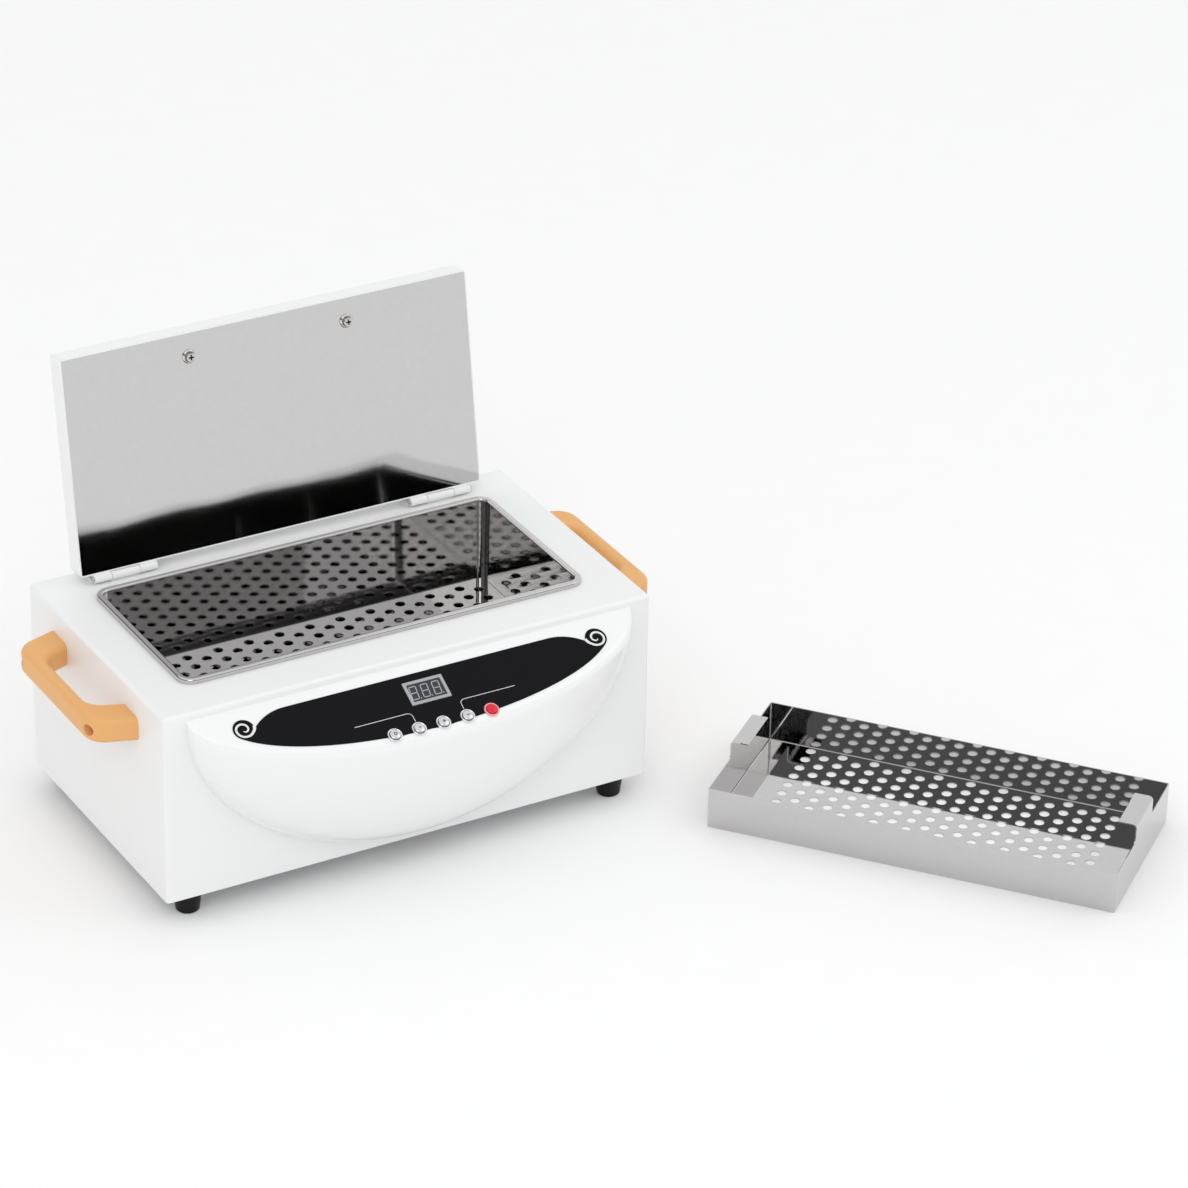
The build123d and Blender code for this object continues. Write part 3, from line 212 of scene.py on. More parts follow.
def strip(line, widths):
    """Thin printed strip along a line of points."""
    left, right = [], []
    for place, point in enumerate(line):
        before, after = line[max(place - 1, 0)], line[min(place + 1, len(line) - 1)]
        run = Vector(after) - Vector(before)
        side = Vector((-run.y, run.x)).normalized() * widths[place] / 2
        left.append((point[0] + side.x, point[1] + side.y, 0))
        right.append((point[0] - side.x, point[1] - side.y, 0))
    return loft([right, left], closed=False)


def bar(a, b, width):
    """Pointed display segment from a to b."""
    a, b = Vector(a), Vector(b)
    run = (b - a).normalized()
    side = Vector((-run.y, run.x)) * width / 2
    nose = run * width / 2
    corners = [a, a + nose + side, b - nose + side, b, b - nose - side, a + nose - side]
    return [(p.x, p.y, 0) for p in corners], [[5, 4, 3, 2, 1, 0]]


def make_piece(name, form, finishes, body, stands_for=(), crease=32, weighted=True):
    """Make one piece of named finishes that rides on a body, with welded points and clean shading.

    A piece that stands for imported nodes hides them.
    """
    mesh = bpy.data.meshes.new(name)
    mesh.from_pydata([point * MM for point in form.points], [], form.faces)
    for finish_name in finishes:
        mesh.materials.append(finish(finish_name))
    mesh.polygons.foreach_set("material_index", form.finish_of)
    work = bmesh.new()
    work.from_mesh(mesh)
    bmesh.ops.remove_doubles(work, verts=work.verts, dist=2e-6)
    bmesh.ops.dissolve_degenerate(work, edges=work.edges, dist=1e-7)
    work.to_mesh(mesh)
    work.free()
    mesh.polygons.foreach_set("use_smooth", [True] * len(mesh.polygons))
    mesh.set_sharp_from_angle(angle=math.radians(crease))
    piece = bpy.data.objects.new(name, mesh)
    bpy.context.scene.collection.objects.link(piece)
    if weighted:
        shading = piece.modifiers.new("even shading", "WEIGHTED_NORMAL")
        shading.keep_sharp = True
    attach(piece, body)
    if stands_for:
        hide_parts(*stands_for)
    return piece


def dress(finish_name, *nodes):
    """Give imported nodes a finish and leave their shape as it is."""
    for node in nodes:
        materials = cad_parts[node].data.materials
        materials.clear()
        materials.append(finish(finish_name))


# Finishes


class Wire:
    """A shader socket that works in sums as a number does."""

    def __init__(self, finish, socket):
        self.finish = finish
        self.socket = socket

    def _sum(self, operation, *others):
        sockets = dict(enumerate(others))
        return self.finish.node("ShaderNodeMath", {"operation": operation}, sockets)

    def __add__(self, other):
        return self._sum("ADD", self, other)

    def __radd__(self, other):
        return self._sum("ADD", other, self)

    def __rsub__(self, other):
        return self._sum("SUBTRACT", other, self)

    def __mul__(self, other):
        return self._sum("MULTIPLY", self, other)

    def __rmul__(self, other):
        return self._sum("MULTIPLY", other, self)

    def largest(self, other):
        return self._sum("MAXIMUM", self, other)

    def between(self, low, high):
        """0 below low, 1 above high, with a soft step between them."""
        return self.finish.node(
            "ShaderNodeMapRange", {"interpolation_type": "SMOOTHSTEP"}, {0: self, 1: low, 2: high}
        )


class Finish:
    """The nodes of one material or of the world."""

    def __init__(self, name, owner=None):
        self.owner = owner or bpy.data.materials.new(name)
        self.owner.use_nodes = True
        self.tree = self.owner.node_tree
        self.tree.nodes.clear()

    def node(self, kind, settings=None, sockets=None, output=0):
        """Add a node with its settings and sockets, and hand on one of its outputs."""
        made = self.tree.nodes.new(kind)
        for key, value in (settings or {}).items():
            setattr(made, key, value)
        for key, value in (sockets or {}).items():
            socket = made.inputs[key]
            if isinstance(value, Wire):
                self.tree.links.new(value.socket, socket)
                continue
            if isinstance(value, tuple) and len(socket.default_value) == len(value) + 1:
                value = (*value, 1)
            socket.default_value = value
        return Wire(self, made.outputs[output])

    def place(self):
        """Where a point lies on the piece itself."""
        return self.node("ShaderNodeTexCoord", output=3)

    def noise(self, scale, detail=2.0, stretch=None):
        """Even noise at a scale of so many patches in a metre."""
        place = self.place()
        if stretch:
            place = self.node("ShaderNodeVectorMath", {"operation": "MULTIPLY"}, {0: place, 1: stretch})
        return self.node("ShaderNodeTexNoise", None, {"Vector": place, "Scale": scale, "Detail": detail})

    def cells(self, scale):
        """Cells with a colour of their own, as the spangle of zinc."""
        return self.node("ShaderNodeTexVoronoi", None, {"Vector": self.place(), "Scale": scale}, output=1)

    def mix(self, factor, first, second):
        """Colour between the first and the second."""
        return self.node(
            "ShaderNodeMix", {"data_type": "RGBA"}, {0: factor, 6: first, 7: second}, output=2
        )

    def bump(self, height, depth, under=None):
        """Small relief of a depth in metres, on top of another if there is one."""
        sockets = {"Height": height, "Strength": 1.0, "Distance": depth}
        if under:
            sockets["Normal"] = under
        return self.node("ShaderNodeBump", None, sockets)

    def surface(self, **sockets):
        """Principled shader as the whole surface, its sockets named with underscores."""
        named = {}
        for key, value in sockets.items():
            named[key.replace("_", " ").title().replace("Ior", "IOR")] = value
        skin = self.node("ShaderNodeBsdfPrincipled", None, named)
        self.node_out(skin)
        return self.owner

    def node_out(self, skin):
        """Join the last shader to the output of the material or the world."""
        owner = "World" if isinstance(self.owner, bpy.types.World) else "Material"
        out = self.tree.nodes.new(f"ShaderNodeOutput{owner}")
        self.tree.links.new(skin.socket, out.inputs[0])


def toned(colour, share):
    """A colour made lighter or darker by a share."""
    return tuple(min(1.0, channel * share) for channel in colour)


def powder_coat(name, colour):
    """Baked white powder coat with its fine orange peel."""
    f = Finish(name)
    peel, cloud = f.noise(620, 3), f.noise(14, 3)
    return f.surface(
        base_color=f.mix(cloud, toned(colour, 0.985), toned(colour, 1.01)),
        roughness=0.30 + 0.12 * peel,
        normal=f.bump(peel, 0.000022),
    )


def gloss_moulding(name, colour):
    """Glossy white moulded plastic with a trace of flow marks."""
    f = Finish(name)
    flow, dust = f.noise(9, 2, (1, 1, 2.5)), f.noise(900, 2)
    return f.surface(
        base_color=f.mix(flow, toned(colour, 0.99), colour),
        roughness=0.17 + 0.05 * flow + 0.03 * dust,
        normal=f.bump(flow, 0.00012),
    )


def mirror_steel(name, colour, haze=0.022, wave=0.00011):
    """Polished stainless sheet: a slow waviness and faint polishing lines."""
    f = Finish(name)
    slow = f.noise(11, 1)
    lines = f.noise(60, 4, (1, 14, 1))
    spots = f.noise(240, 3)
    return f.surface(
        base_color=f.mix(spots, toned(colour, 0.96), toned(colour, 1.03)),
        metallic=1.0,
        roughness=haze + 0.03 * lines + 0.015 * spots,
        normal=f.bump(lines, 0.000002, f.bump(slow, wave)),
    )


def satin_metal(name, colour, haze=0.28, grain=500):
    """Small turned or pressed metal part."""
    f = Finish(name)
    mark = f.noise(grain, 4)
    return f.surface(
        base_color=f.mix(mark, toned(colour, 0.9), toned(colour, 1.05)),
        metallic=1.0,
        roughness=haze - 0.08 + 0.16 * mark,
        normal=f.bump(mark, 0.000008),
    )


def zinc_sheet(name, colour):
    """Zinc coated sheet with its spangle."""
    f = Finish(name)
    spangle = f.cells(70)
    fine = f.noise(400, 3)
    tone = f.node("ShaderNodeSeparateColor", None, {0: spangle})
    return f.surface(
        base_color=f.mix(tone, toned(colour, 0.8), toned(colour, 1.1)),
        metallic=1.0,
        roughness=0.32 + 0.12 * tone + 0.05 * fine,
        normal=f.bump(fine, 0.00001),
    )


def moulded(name, colour, shine=0.45, grain=800, depth=0.000018, patch=0.05, gleam=0.5):
    """Moulded plastic or rubber with a spark eroded grain."""
    f = Finish(name)
    skin, patchy = f.noise(grain, 4), f.noise(35, 3)
    return f.surface(
        base_color=f.mix(patchy, toned(colour, 1 - patch), toned(colour, 1 + patch)),
        roughness=shine - 0.05 + 0.10 * skin,
        specular_ior_level=gleam,
        normal=f.bump(skin, depth),
    )


def label_film(name, colour):
    """Glossy printed film, slightly uneven where it is stuck down."""
    f = Finish(name)
    stick, dust = f.noise(45, 2), f.noise(1200, 2)
    return f.surface(
        base_color=f.mix(dust, toned(colour, 0.8), toned(colour, 1.2)),
        roughness=0.20 + 0.06 * dust,
        specular_ior_level=0.1,
        normal=f.bump(stick, 0.00002),
    )


def fibre_wool(name, colour):
    """Ceramic fibre felt."""
    f = Finish(name)
    tuft, strand = f.noise(220, 6), f.noise(900, 3, (1, 5, 1))
    return f.surface(
        base_color=f.mix(tuft, toned(colour, 0.75), colour),
        roughness=0.95,
        normal=f.bump(tuft + 0.5 * strand, 0.0006),
    )


def circuit_board(name, colour):
    """Lacquered board with darker copper runs under the lacquer."""
    f = Finish(name)
    layout = {"Vector": f.place(), "Scale": 140.0, "Mortar Size": 0.06}
    runs = f.node("ShaderNodeTexBrick", None, layout, output=1)
    return f.surface(
        base_color=f.mix(runs, colour, toned(colour, 1.7)),
        roughness=0.28 + 0.1 * runs,
        normal=f.bump(runs, 0.00003),
    )


FINISHES = {}


def finish(name):
    """The finished material of a record slot or a print, made the first time that it is asked for."""
    if name not in FINISHES:
        FINISHES[name] = make_finish(name)
    return FINISHES[name]


def make_finish(name):
    """Make the material of a record slot or a print."""
    colours = bpy.context.scene.sterilizer_colours
    white, steel = tuple(colours.casing), tuple(colours.steel)
    orange = tuple(colours.handle)
    makers = {
        "casing_white": lambda: powder_coat("casing white powder coat", white),
        "fascia_white": lambda: gloss_moulding("bowed fascia gloss white", tuple(colours.fascia)),
        "mirror_steel": lambda: mirror_steel("polished stainless sheet", steel),
        "liner_steel": lambda: mirror_steel("polished lid liner", toned(steel, 0.985), 0.04, 0.0011),
        "tray_steel": lambda: mirror_steel("polished tray sheet", steel, 0.02, 0.00012),
        "cup_steel": lambda: satin_metal("bright cup washer", (0.72, 0.71, 0.69), 0.16),
        "screw_steel": lambda: satin_metal("zinc plated screw", (0.62, 0.61, 0.60), 0.24),
        "pin_steel": lambda: satin_metal("bright hinge pin", (0.66, 0.66, 0.66), 0.2),
        "pin_brass": lambda: satin_metal("brass pin", (0.72, 0.52, 0.24), 0.28),
        "zinc_sheet": lambda: zinc_sheet("zinc coated base sheet", (0.56, 0.57, 0.58)),
        "black_rubber": lambda: moulded(
            "black rubber foot", (0.006, 0.006, 0.0065), 0.38, 500, 0.00003, gleam=0.2
        ),
        "handle_orange": lambda: moulded("tan handle moulding", orange, 0.46, 700, 0.000022, 0.03),
        "label_black": lambda: label_film("black label film", tuple(colours.label)),
        "label_print": lambda: moulded("white label print", (0.78, 0.78, 0.78), 0.5, 1500, 0.000004, 0.02),
        "frame_grey": lambda: moulded(
            "grey display frame", screen_colour(168, 169, 170), 0.3, 900, 0.000012
        ),
        "window_dark": lambda: label_film("smoked display window", screen_colour(66, 68, 74)),
        "segment_edge": lambda: moulded(
            "pale segment edge", screen_colour(176, 178, 180), 0.4, 1500, 0.000003
        ),
        "ring_silver": lambda: satin_metal("silver button ring", (0.86, 0.86, 0.87), 0.16, 900),
        "button_silver": lambda: satin_metal("silver button cap", (0.72, 0.72, 0.73), 0.2, 900),
        "button_red": lambda: moulded("red button", screen_colour(222, 24, 48), 0.22, 1300, 0.000006),
        "ring_pink": lambda: moulded("pale red ring", screen_colour(236, 170, 178), 0.16, 1300, 0.000006),
        "button_mark": lambda: moulded("dark button mark", screen_colour(40, 40, 42), 0.4, 1500, 0.000003),
        "fibre_wool": lambda: fibre_wool("ceramic fibre felt", (0.74, 0.72, 0.66)),
        "heater_plate": lambda: moulded("mica heater plate", (0.22, 0.19, 0.15), 0.5, 300, 0.00005, 0.2),
        "cutout_body": lambda: moulded("thermal cutout body", (0.05, 0.045, 0.04), 0.4),
        "module_black": lambda: moulded("display module", (0.02, 0.02, 0.021), 0.4),
        "board_green": lambda: circuit_board("green circuit board", (0.03, 0.16, 0.06)),
        "switch_black": lambda: moulded("tact switch", (0.02, 0.02, 0.02), 0.4),
        "potting_black": lambda: moulded("potted transformer", (0.03, 0.03, 0.032), 0.35, 300, 0.00006),
        "relay_blue": lambda: moulded("blue relay", (0.03, 0.10, 0.33), 0.3),
        "terminal_green": lambda: moulded("green terminal block", (0.05, 0.33, 0.13), 0.4),
        "inlet_black": lambda: moulded("black mains inlet", (0.018, 0.018, 0.019), 0.42, 900, 0.00003),
        # Near black that stands in for the shade at the foot of a screw's cross recess: painted shade.
        "painted_recess_shade": lambda: moulded("dark recess", (0.006, 0.006, 0.006), 0.6),
    }
    return makers[name]()


# Settings that a user may change


class SterilizerColours(bpy.types.PropertyGroup):
    casing: FloatVectorProperty(
        name="Casing",
        description="Powder coat of casing and lid",
        subtype="COLOR",
        default=(0.885, 0.888, 0.888),
    )
    fascia: FloatVectorProperty(
        name="Fascia",
        description="Moulded bow front",
        subtype="COLOR",
        default=(0.90, 0.902, 0.902),
    )
    steel: FloatVectorProperty(
        name="Steel",
        description="Tank, floor, liner and tray",
        subtype="COLOR",
        default=(0.60, 0.592, 0.59),
    )
    handle: FloatVectorProperty(
        name="Handles",
        description="Tan moulding of the handles",
        subtype="COLOR",
        default=(0.82, 0.43, 0.15),
    )
    label: FloatVectorProperty(
        name="Label",
        description="Film of the control label",
        subtype="COLOR",
        default=(0.004, 0.004, 0.005),
    )


class SterilizerSizes(bpy.types.PropertyGroup):
    hole: FloatProperty(
        name="Hole",
        description="Radius of the punched holes",
        unit="LENGTH",
        default=0.0035,
        precision=5,
    )
    ridge: FloatProperty(
        name="Ridge",
        description="Run of the rounding along the bow's ridge",
        unit="LENGTH",
        default=0.006,
    )
    bead: FloatProperty(
        name="Bead",
        description="Rounding of the tank's rim",
        unit="LENGTH",
        default=0.0017,
        precision=5,
    )
    symbol: FloatProperty(
        name="Symbol",
        description="Reach of the marks on the buttons",
        unit="LENGTH",
        default=0.0013,
        precision=5,
    )
    fineness: IntProperty(
        name="Fineness",
        description="Steps round a punched hole",
        default=20,
        min=8,
        max=48,
    )


def millimetres(name):
    """A size setting in millimetres."""
    return getattr(bpy.context.scene.sterilizer_sizes, name) / MM


# Pieces


def punched_holes(columns, rows, pitch_y):
    """Outlines of the staggered holes of a chamber sheet."""
    holes = []
    steps = bpy.context.scene.sterilizer_sizes.fineness
    for shift in (-1, 1):
        for column in range(columns // 2):
            for row in range(rows):
                x = (column - (columns // 2 - 1) / 2) * 2 * HOLE_PITCH - shift * HOLE_PITCH / 2
                y = (row - (rows - 1) / 2) * pitch_y + shift * pitch_y / 4
                holes.append(circle(x, y, millimetres("hole"), steps))
    return holes


def add_screw(form, face, radius, height, shank, length):
    """Screw of a fastener group: cross recessed pan head above the face, shank below it, and a disc of
    painted shade at the foot of the recess.
    """
    low = height * 0.4
    recess = cross(radius * 0.55, radius * 0.24)
    form.add(turned([(0, 0), (radius, 0), (radius, low)], 32), face)
    form.add(cut_sheet(circle(0, 0, radius, 32), [recess], height - low, 0.42), moved(face, 0, 0, low))
    # Near black disc at the foot of the cross recess: painted shade, where the recess floor is the screw's
    # own steel lying in shade.
    form.add(turned([(0, low + 0.02), (radius * 0.7, low + 0.02)], 24), face, 1)
    form.add(turned([(0, -length), (shank * 0.7, -length), (shank, -length + 0.6), (shank, 0)], 16), face)


def solid_places(node, face):
    """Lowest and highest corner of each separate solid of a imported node, as a face sees them."""
    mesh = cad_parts[node].data
    work = bmesh.new()
    work.from_mesh(mesh)
    bmesh.ops.remove_doubles(work, verts=work.verts, dist=1e-6)
    seen, places = set(), []
    back = face.inverted()
    for start in work.verts:
        if start.index in seen:
            continue
        stack, group = [start], []
        seen.add(start.index)
        while stack:
            vert = stack.pop()
            group.append(back @ (vert.co / MM))
            for edge in vert.link_edges:
                other = edge.other_vert(vert)
                if other.index not in seen:
                    seen.add(other.index)
                    stack.append(other)
        low = [min(p[axis] for p in group) for axis in range(3)]
        high = [max(p[axis] for p in group) for axis in range(3)]
        places.append((low, high))
    work.free()
    return sorted(places)


class STERILIZER_OT_stage(bpy.types.Operator):
    """Floor, world, lamps and camera"""

    bl_idname = "sterilizer.stage"
    bl_label = "Stage"
    bl_options = {"REGISTER", "UNDO"}

    def execute(self, context):
        scene = context.scene
        scene.view_settings.view_transform = "Standard"
        floor_mesh = bpy.data.meshes.new("studio_floor")
        floor_mesh.from_pydata(*self.floor_points())
        floor = bpy.data.objects.new("studio_floor", floor_mesh)
        scene.collection.objects.link(floor)
        floor_mesh.materials.append(self.floor_finish())
        self.world(scene)
        self.lamp("key_softbox", (-1.5, -2.1, 2.5), 1.6, 15)
        self.lamp("fill_softbox", (2.2, -1.4, 2.2), 1.6, 6)
        camera_data = bpy.data.cameras.new("camera")
        # Lens and place come from the camera that was fitted to the photograph.
        camera_data.lens = 160.189
        camera_data.sensor_width = 36
        camera_data.clip_start = 0.1
        camera_data.clip_end = 200
        camera = bpy.data.objects.new("camera", camera_data)
        scene.collection.objects.link(camera)
        across = Vector((0.869376, -0.493838, 0.017609))
        up = Vector((0.223566, 0.424855, 0.877221))
        back = Vector((-0.440687, -0.758697, 0.479764))
        aim = Matrix((across, up, back)).transposed().to_4x4()
        aim.translation = Vector((-1410.309, -2767.099, 1850.625)) * MM
        camera.matrix_world = aim
        scene.camera = camera
        return {"FINISHED"}

    def floor_points(self):
        """Round floor, fine in the middle, in metres."""
        rings = [[(r * math.cos(a), r * math.sin(a), 0) for a in (math.tau * k / 64 for k in range(64))]
                 for r in (0.001, 2, 60)]
        points, faces = loft(rings)
        return points, [], faces

    def floor_finish(self):
        """Pale matt floor that keeps the shadow and glows a little where it is seen."""
        f = Finish("pale studio floor")
        grain = f.noise(30, 3)
        tone = f.mix(grain, (0.90, 0.90, 0.90), (0.92, 0.92, 0.92))
        matte = f.node("ShaderNodeBsdfDiffuse", None, {0: tone})
        seen = self.seen(f)
        glow = f.node("ShaderNodeEmission", None, {0: (1, 1, 1), 1: seen * 0.06})
        f.node_out(f.node("ShaderNodeAddShader", None, {0: matte, 1: glow}))
        return f.owner

    def seen(self, f):
        """1 for a ray from the camera, a mirror or a glass, and 0 for one that only lights."""
        rays = [f.node("ShaderNodeLightPath", output=ray) for ray in ("Is Camera Ray", "Is Glossy Ray")]
        return rays[0].largest(rays[1]).largest(f.node("ShaderNodeLightPath", output="Is Transmission Ray"))

    def world(self, scene):
        """White where the camera sees it, even for soft light, and a room for the polished sheet."""
        world = bpy.data.worlds.new("soft studio")
        scene.world = world
        f = Finish("soft studio", world)
        direction = f.node("ShaderNodeTexCoord", output=0)
        x, y, z = (f.node("ShaderNodeSeparateXYZ", None, {0: direction}, output=axis) for axis in range(3))
        # The polished sheet mirrors a pale room that is unlit low on the left and behind the camera.
        right, front = x.between(-0.15, 0.1), (0 - y).between(0.3, 0.68)
        low, high = z.between(0.20, 0.27), 1 - z.between(0.60, 0.70)
        unlit_left = low * high * (1 - right)
        unlit_right = low * (1 - z.between(0.452, 0.516)) * right * front
        lit_wall = 0.93 * (1 - unlit_left) * (1 - unlit_right)
        wall = lit_wall + unlit_left * (0.004 + 0.17 * (1 - front)) + 0.02 * unlit_right
        room = f.node("ShaderNodeCombineColor", None, {0: wall, 1: wall, 2: wall * 1.01})
        glossy = f.node("ShaderNodeLightPath", output="Is Glossy Ray")
        soft = f.node("ShaderNodeBackground", None, {0: (0.905, 0.908, 0.912), 1: 1.0})
        mirrored = f.node("ShaderNodeBackground", None, {0: room, 1: 1.0})
        white = f.node("ShaderNodeBackground", None, {0: (1, 1, 1), 1: 1.0})
        lit = f.node("ShaderNodeMixShader", None, {0: glossy, 1: soft, 2: mirrored})
        camera_ray = f.node("ShaderNodeLightPath", output="Is Camera Ray")
        f.node_out(f.node("ShaderNodeMixShader", None, {0: camera_ray, 1: lit, 2: white}))

    def lamp(self, name, place, size, power):
        """Square soft box that looks at the part."""
        lamp_data = bpy.data.lights.new(name, "AREA")
        lamp_data.size = size
        lamp_data.energy = power
        lamp = bpy.data.objects.new(name, lamp_data)
        bpy.context.scene.collection.objects.link(lamp)
        lamp.location = place
        aim = Vector((0.1, -0.05, 0.05)) - Vector(place)
        lamp.rotation_euler = aim.to_track_quat("-Z", "Y").to_euler()


class STERILIZER_OT_casing(bpy.types.Operator):
    """Powder coated casing, base plate and the group of base screws"""

    bl_idname = "sterilizer.casing"
    bl_label = "Casing"
    bl_options = {"REGISTER", "UNDO"}

    def execute(self, context):
        dress("casing_white", "casing")
        dress("zinc_sheet", "base_plate")
        dress("screw_steel", "base_screws", "fascia_screws")
        return {"FINISHED"}


class STERILIZER_OT_feet(bpy.types.Operator):
    """Turned rubber feet with their sunk screws"""

    bl_idname = "sterilizer.feet"
    bl_label = "Feet"
    bl_options = {"REGISTER", "UNDO"}

    def execute(self, context):
        # Radius and height: screw recess, rounded foot edge, taper and seat under the base plate.
        profile = [(0, 8), (4.6, 8), (4.6, 0.5), (5.1, 0), (6.2, 0)]
        profile += [(6.2 + 1.9 * math.sin(a), 1.9 - 1.9 * math.cos(a)) for a in (0.3, 0.6, 0.9, 1.2, 1.5)]
        profile += [(8.15, 2.2), (9.9, 15.2), (9.7, 15.8), (9.2, 16), (0, 16)]
        for name in ("foot_front_left", "foot_front_right", "foot_rear_left", "foot_rear_right"):
            low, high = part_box(name)
            middle = (low + high) / 2 / MM
            form = Form().add(turned(profile, 48), Matrix.Translation((middle.x, middle.y, 0)))
            make_piece(f"turned_{name}", form, ["black_rubber"], "housing", (name,), 50)
        dress("screw_steel", "foot_screws")
        return {"FINISHED"}


class STERILIZER_OT_chamber(bpy.types.Operator):
    """Folded tank with its rolled rim, and the punched floor"""

    bl_idname = "sterilizer.chamber"
    bl_label = "Chamber"
    bl_options = {"REGISTER", "UNDO"}

    def execute(self, context):
        self.tank()
        self.floor()
        return {"FINISHED"}

    def tank(self):
        """Tank from a profile of outward reach and height, its walls drawn in by 1 mm at the foot."""
        bead = millimetres("bead")
        profile = [(-8, TANK_BOTTOM), (-1.2, TANK_BOTTOM), (-0.4, 86.4), (0, 87.2), (0, RIM_TOP - bead)]
        for step in range(1, 7):
            turn = math.pi / 2 * step / 6
            profile.append((bead * (1 - math.cos(turn)), RIM_TOP - bead * (1 - math.sin(turn))))
        for step in range(0, 7):
            turn = math.pi / 2 * step / 6
            profile.append((RIM_REACH - bead * (1 - math.sin(turn)), RIM_TOP - bead * (1 - math.cos(turn))))
        profile += [(RIM_REACH, 155), (1, 155), (1, 85.6), (0.4, 85), (-8, 85)]
        rings = []
        for out, height in profile:
            if out < 1 and TANK_BOTTOM <= height < 150:
                out -= (RIM_TOP - height) / (RIM_TOP - TANK_BOTTOM)
            corner = max(6.0 + out, 0.6)
            outline = rounded_box(TANK_HALF_X + out, TANK_HALF_Y + out, corner, 10)
            rings.append([(x, y, height) for x, y in outline])
        form = Form().add(loft(rings, first_end=True, last_end=True), CHAMBER)
        form.faces = [face[::-1] for face in form.faces]
        make_piece("rolled_chamber_tank", form, ["mirror_steel"], "housing", ("chamber_tank",), 40)

    def floor(self):
        """Punched plate that stands 1 mm clear of the tank's walls on two folded legs."""
        half_x, half_y, level, leg_half = TANK_HALF_X - 1, TANK_HALF_Y - 1, 96, 55
        sheet = cut_sheet(rounded_box(half_x, half_y, 5, 6), punched_holes(24, 9, 13.4), 1.0, 0.12)
        floor = Form().add(sheet, moved(CHAMBER, 0, 0, level))
        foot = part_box("chamber_floor")[0].z / MM
        for side in (-1, 1):
            outer, inner = side * half_x, side * (half_x - 1)
            leg = [(outer, -leg_half), (inner, -leg_half), (inner, leg_half), (outer, leg_half)]
            leg = leg if side > 0 else leg[::-1]
            rings = [[(x, y, z) for x, y in leg] for z in (foot, level + 0.5)]
            floor.add(loft(rings, first_end=True, last_end=True), CHAMBER)
        make_piece("punched_chamber_floor", floor, ["mirror_steel"], "housing", ("chamber_floor",), 30)


def bow_point(sweep, fall):
    """Point of the bow front: sweep goes across, fall goes from the ridge down to the casing."""
    x, y, z = FASCIA_TOP
    return Vector((x + BOW_HALF_WIDTH * math.sin(sweep), y - BOW_DEPTH * math.cos(sweep) * math.cos(fall),
                   z - BOW_DROP * math.cos(sweep) * math.sin(fall)))


class STERILIZER_OT_fascia(bpy.types.Operator):
    """Moulded bow front with its rounded ridge and the openings of the control face"""

    bl_idname = "sterilizer.fascia"
    bl_label = "Fascia"
    bl_options = {"REGISTER", "UNDO"}

    def execute(self, context):
        # Where the sloping control face cuts the bow, and how far it runs from the casing to there.
        start = math.atan(math.tan(CONTROL_SLOPE) * BOW_DEPTH / BOW_DROP)
        depth = BOW_DEPTH * math.cos(start) / math.cos(CONTROL_SLOPE)
        # How far the bow runs for each radian that it falls, near its ridge.
        ridge_reach = 122.6
        rows, edge = [], []
        steps = 120
        for step in range(steps + 1):
            sweep = math.radians(-90 + 180 * step / steps)
            share = math.cos(sweep)
            if step in (0, steps):
                share = 0.0
            run = min(millimetres("ridge"), 0.5 * depth * share)
            edge.append((BOW_HALF_WIDTH * math.sin(sweep), -(depth * share - run)))
            flat = CONTROL @ Vector((*edge[-1], 0))
            turn = start + (run / (ridge_reach * share) if share else 0.5 * depth / ridge_reach)
            ridge, below = bow_point(sweep, start), bow_point(sweep, turn)
            row = []
            for part in range(9):
                u = part / 8
                row.append((1 - u) ** 2 * flat + 2 * u * (1 - u) * ridge + u * u * below)
            for part in range(1, 41):
                row.append(bow_point(sweep, turn + (math.pi / 2 - turn) * part / 40))
            rows.append(row)
        form = Form().add(loft(rows, closed=False))
        display = rounded_box(DISPLAY_SIZE[0] / 2 - 0.3, DISPLAY_SIZE[1] / 2 - 0.3, 0.5, 2)
        holes = [[(x + DISPLAY_SPOT[0], y + DISPLAY_SPOT[1]) for x, y in display]]
        holes += [circle(x, y, 4.9, 32) for x, y in BUTTON_SPOTS]
        form.add(cut_sheet(edge, holes), CONTROL)
        skin = make_piece("bowed_fascia_skin", form, ["fascia_white"], "housing", ("fascia",), 30)
        self.face_outwards(skin)
        return {"FINISHED"}

    def face_outwards(self, skin):
        """Turn the open skin's faces so that its front looks away from the casing."""
        work = bmesh.new()
        work.from_mesh(skin.data)
        bmesh.ops.recalc_face_normals(work, faces=work.faces)
        middle = [face for face in work.faces if abs(face.calc_center_median().x) < 0.02]
        lowest = min(middle, key=lambda face: face.calc_center_median().y)
        if lowest.normal.y > 0:
            bmesh.ops.reverse_faces(work, faces=work.faces)
        work.to_mesh(skin.data)
        work.free()


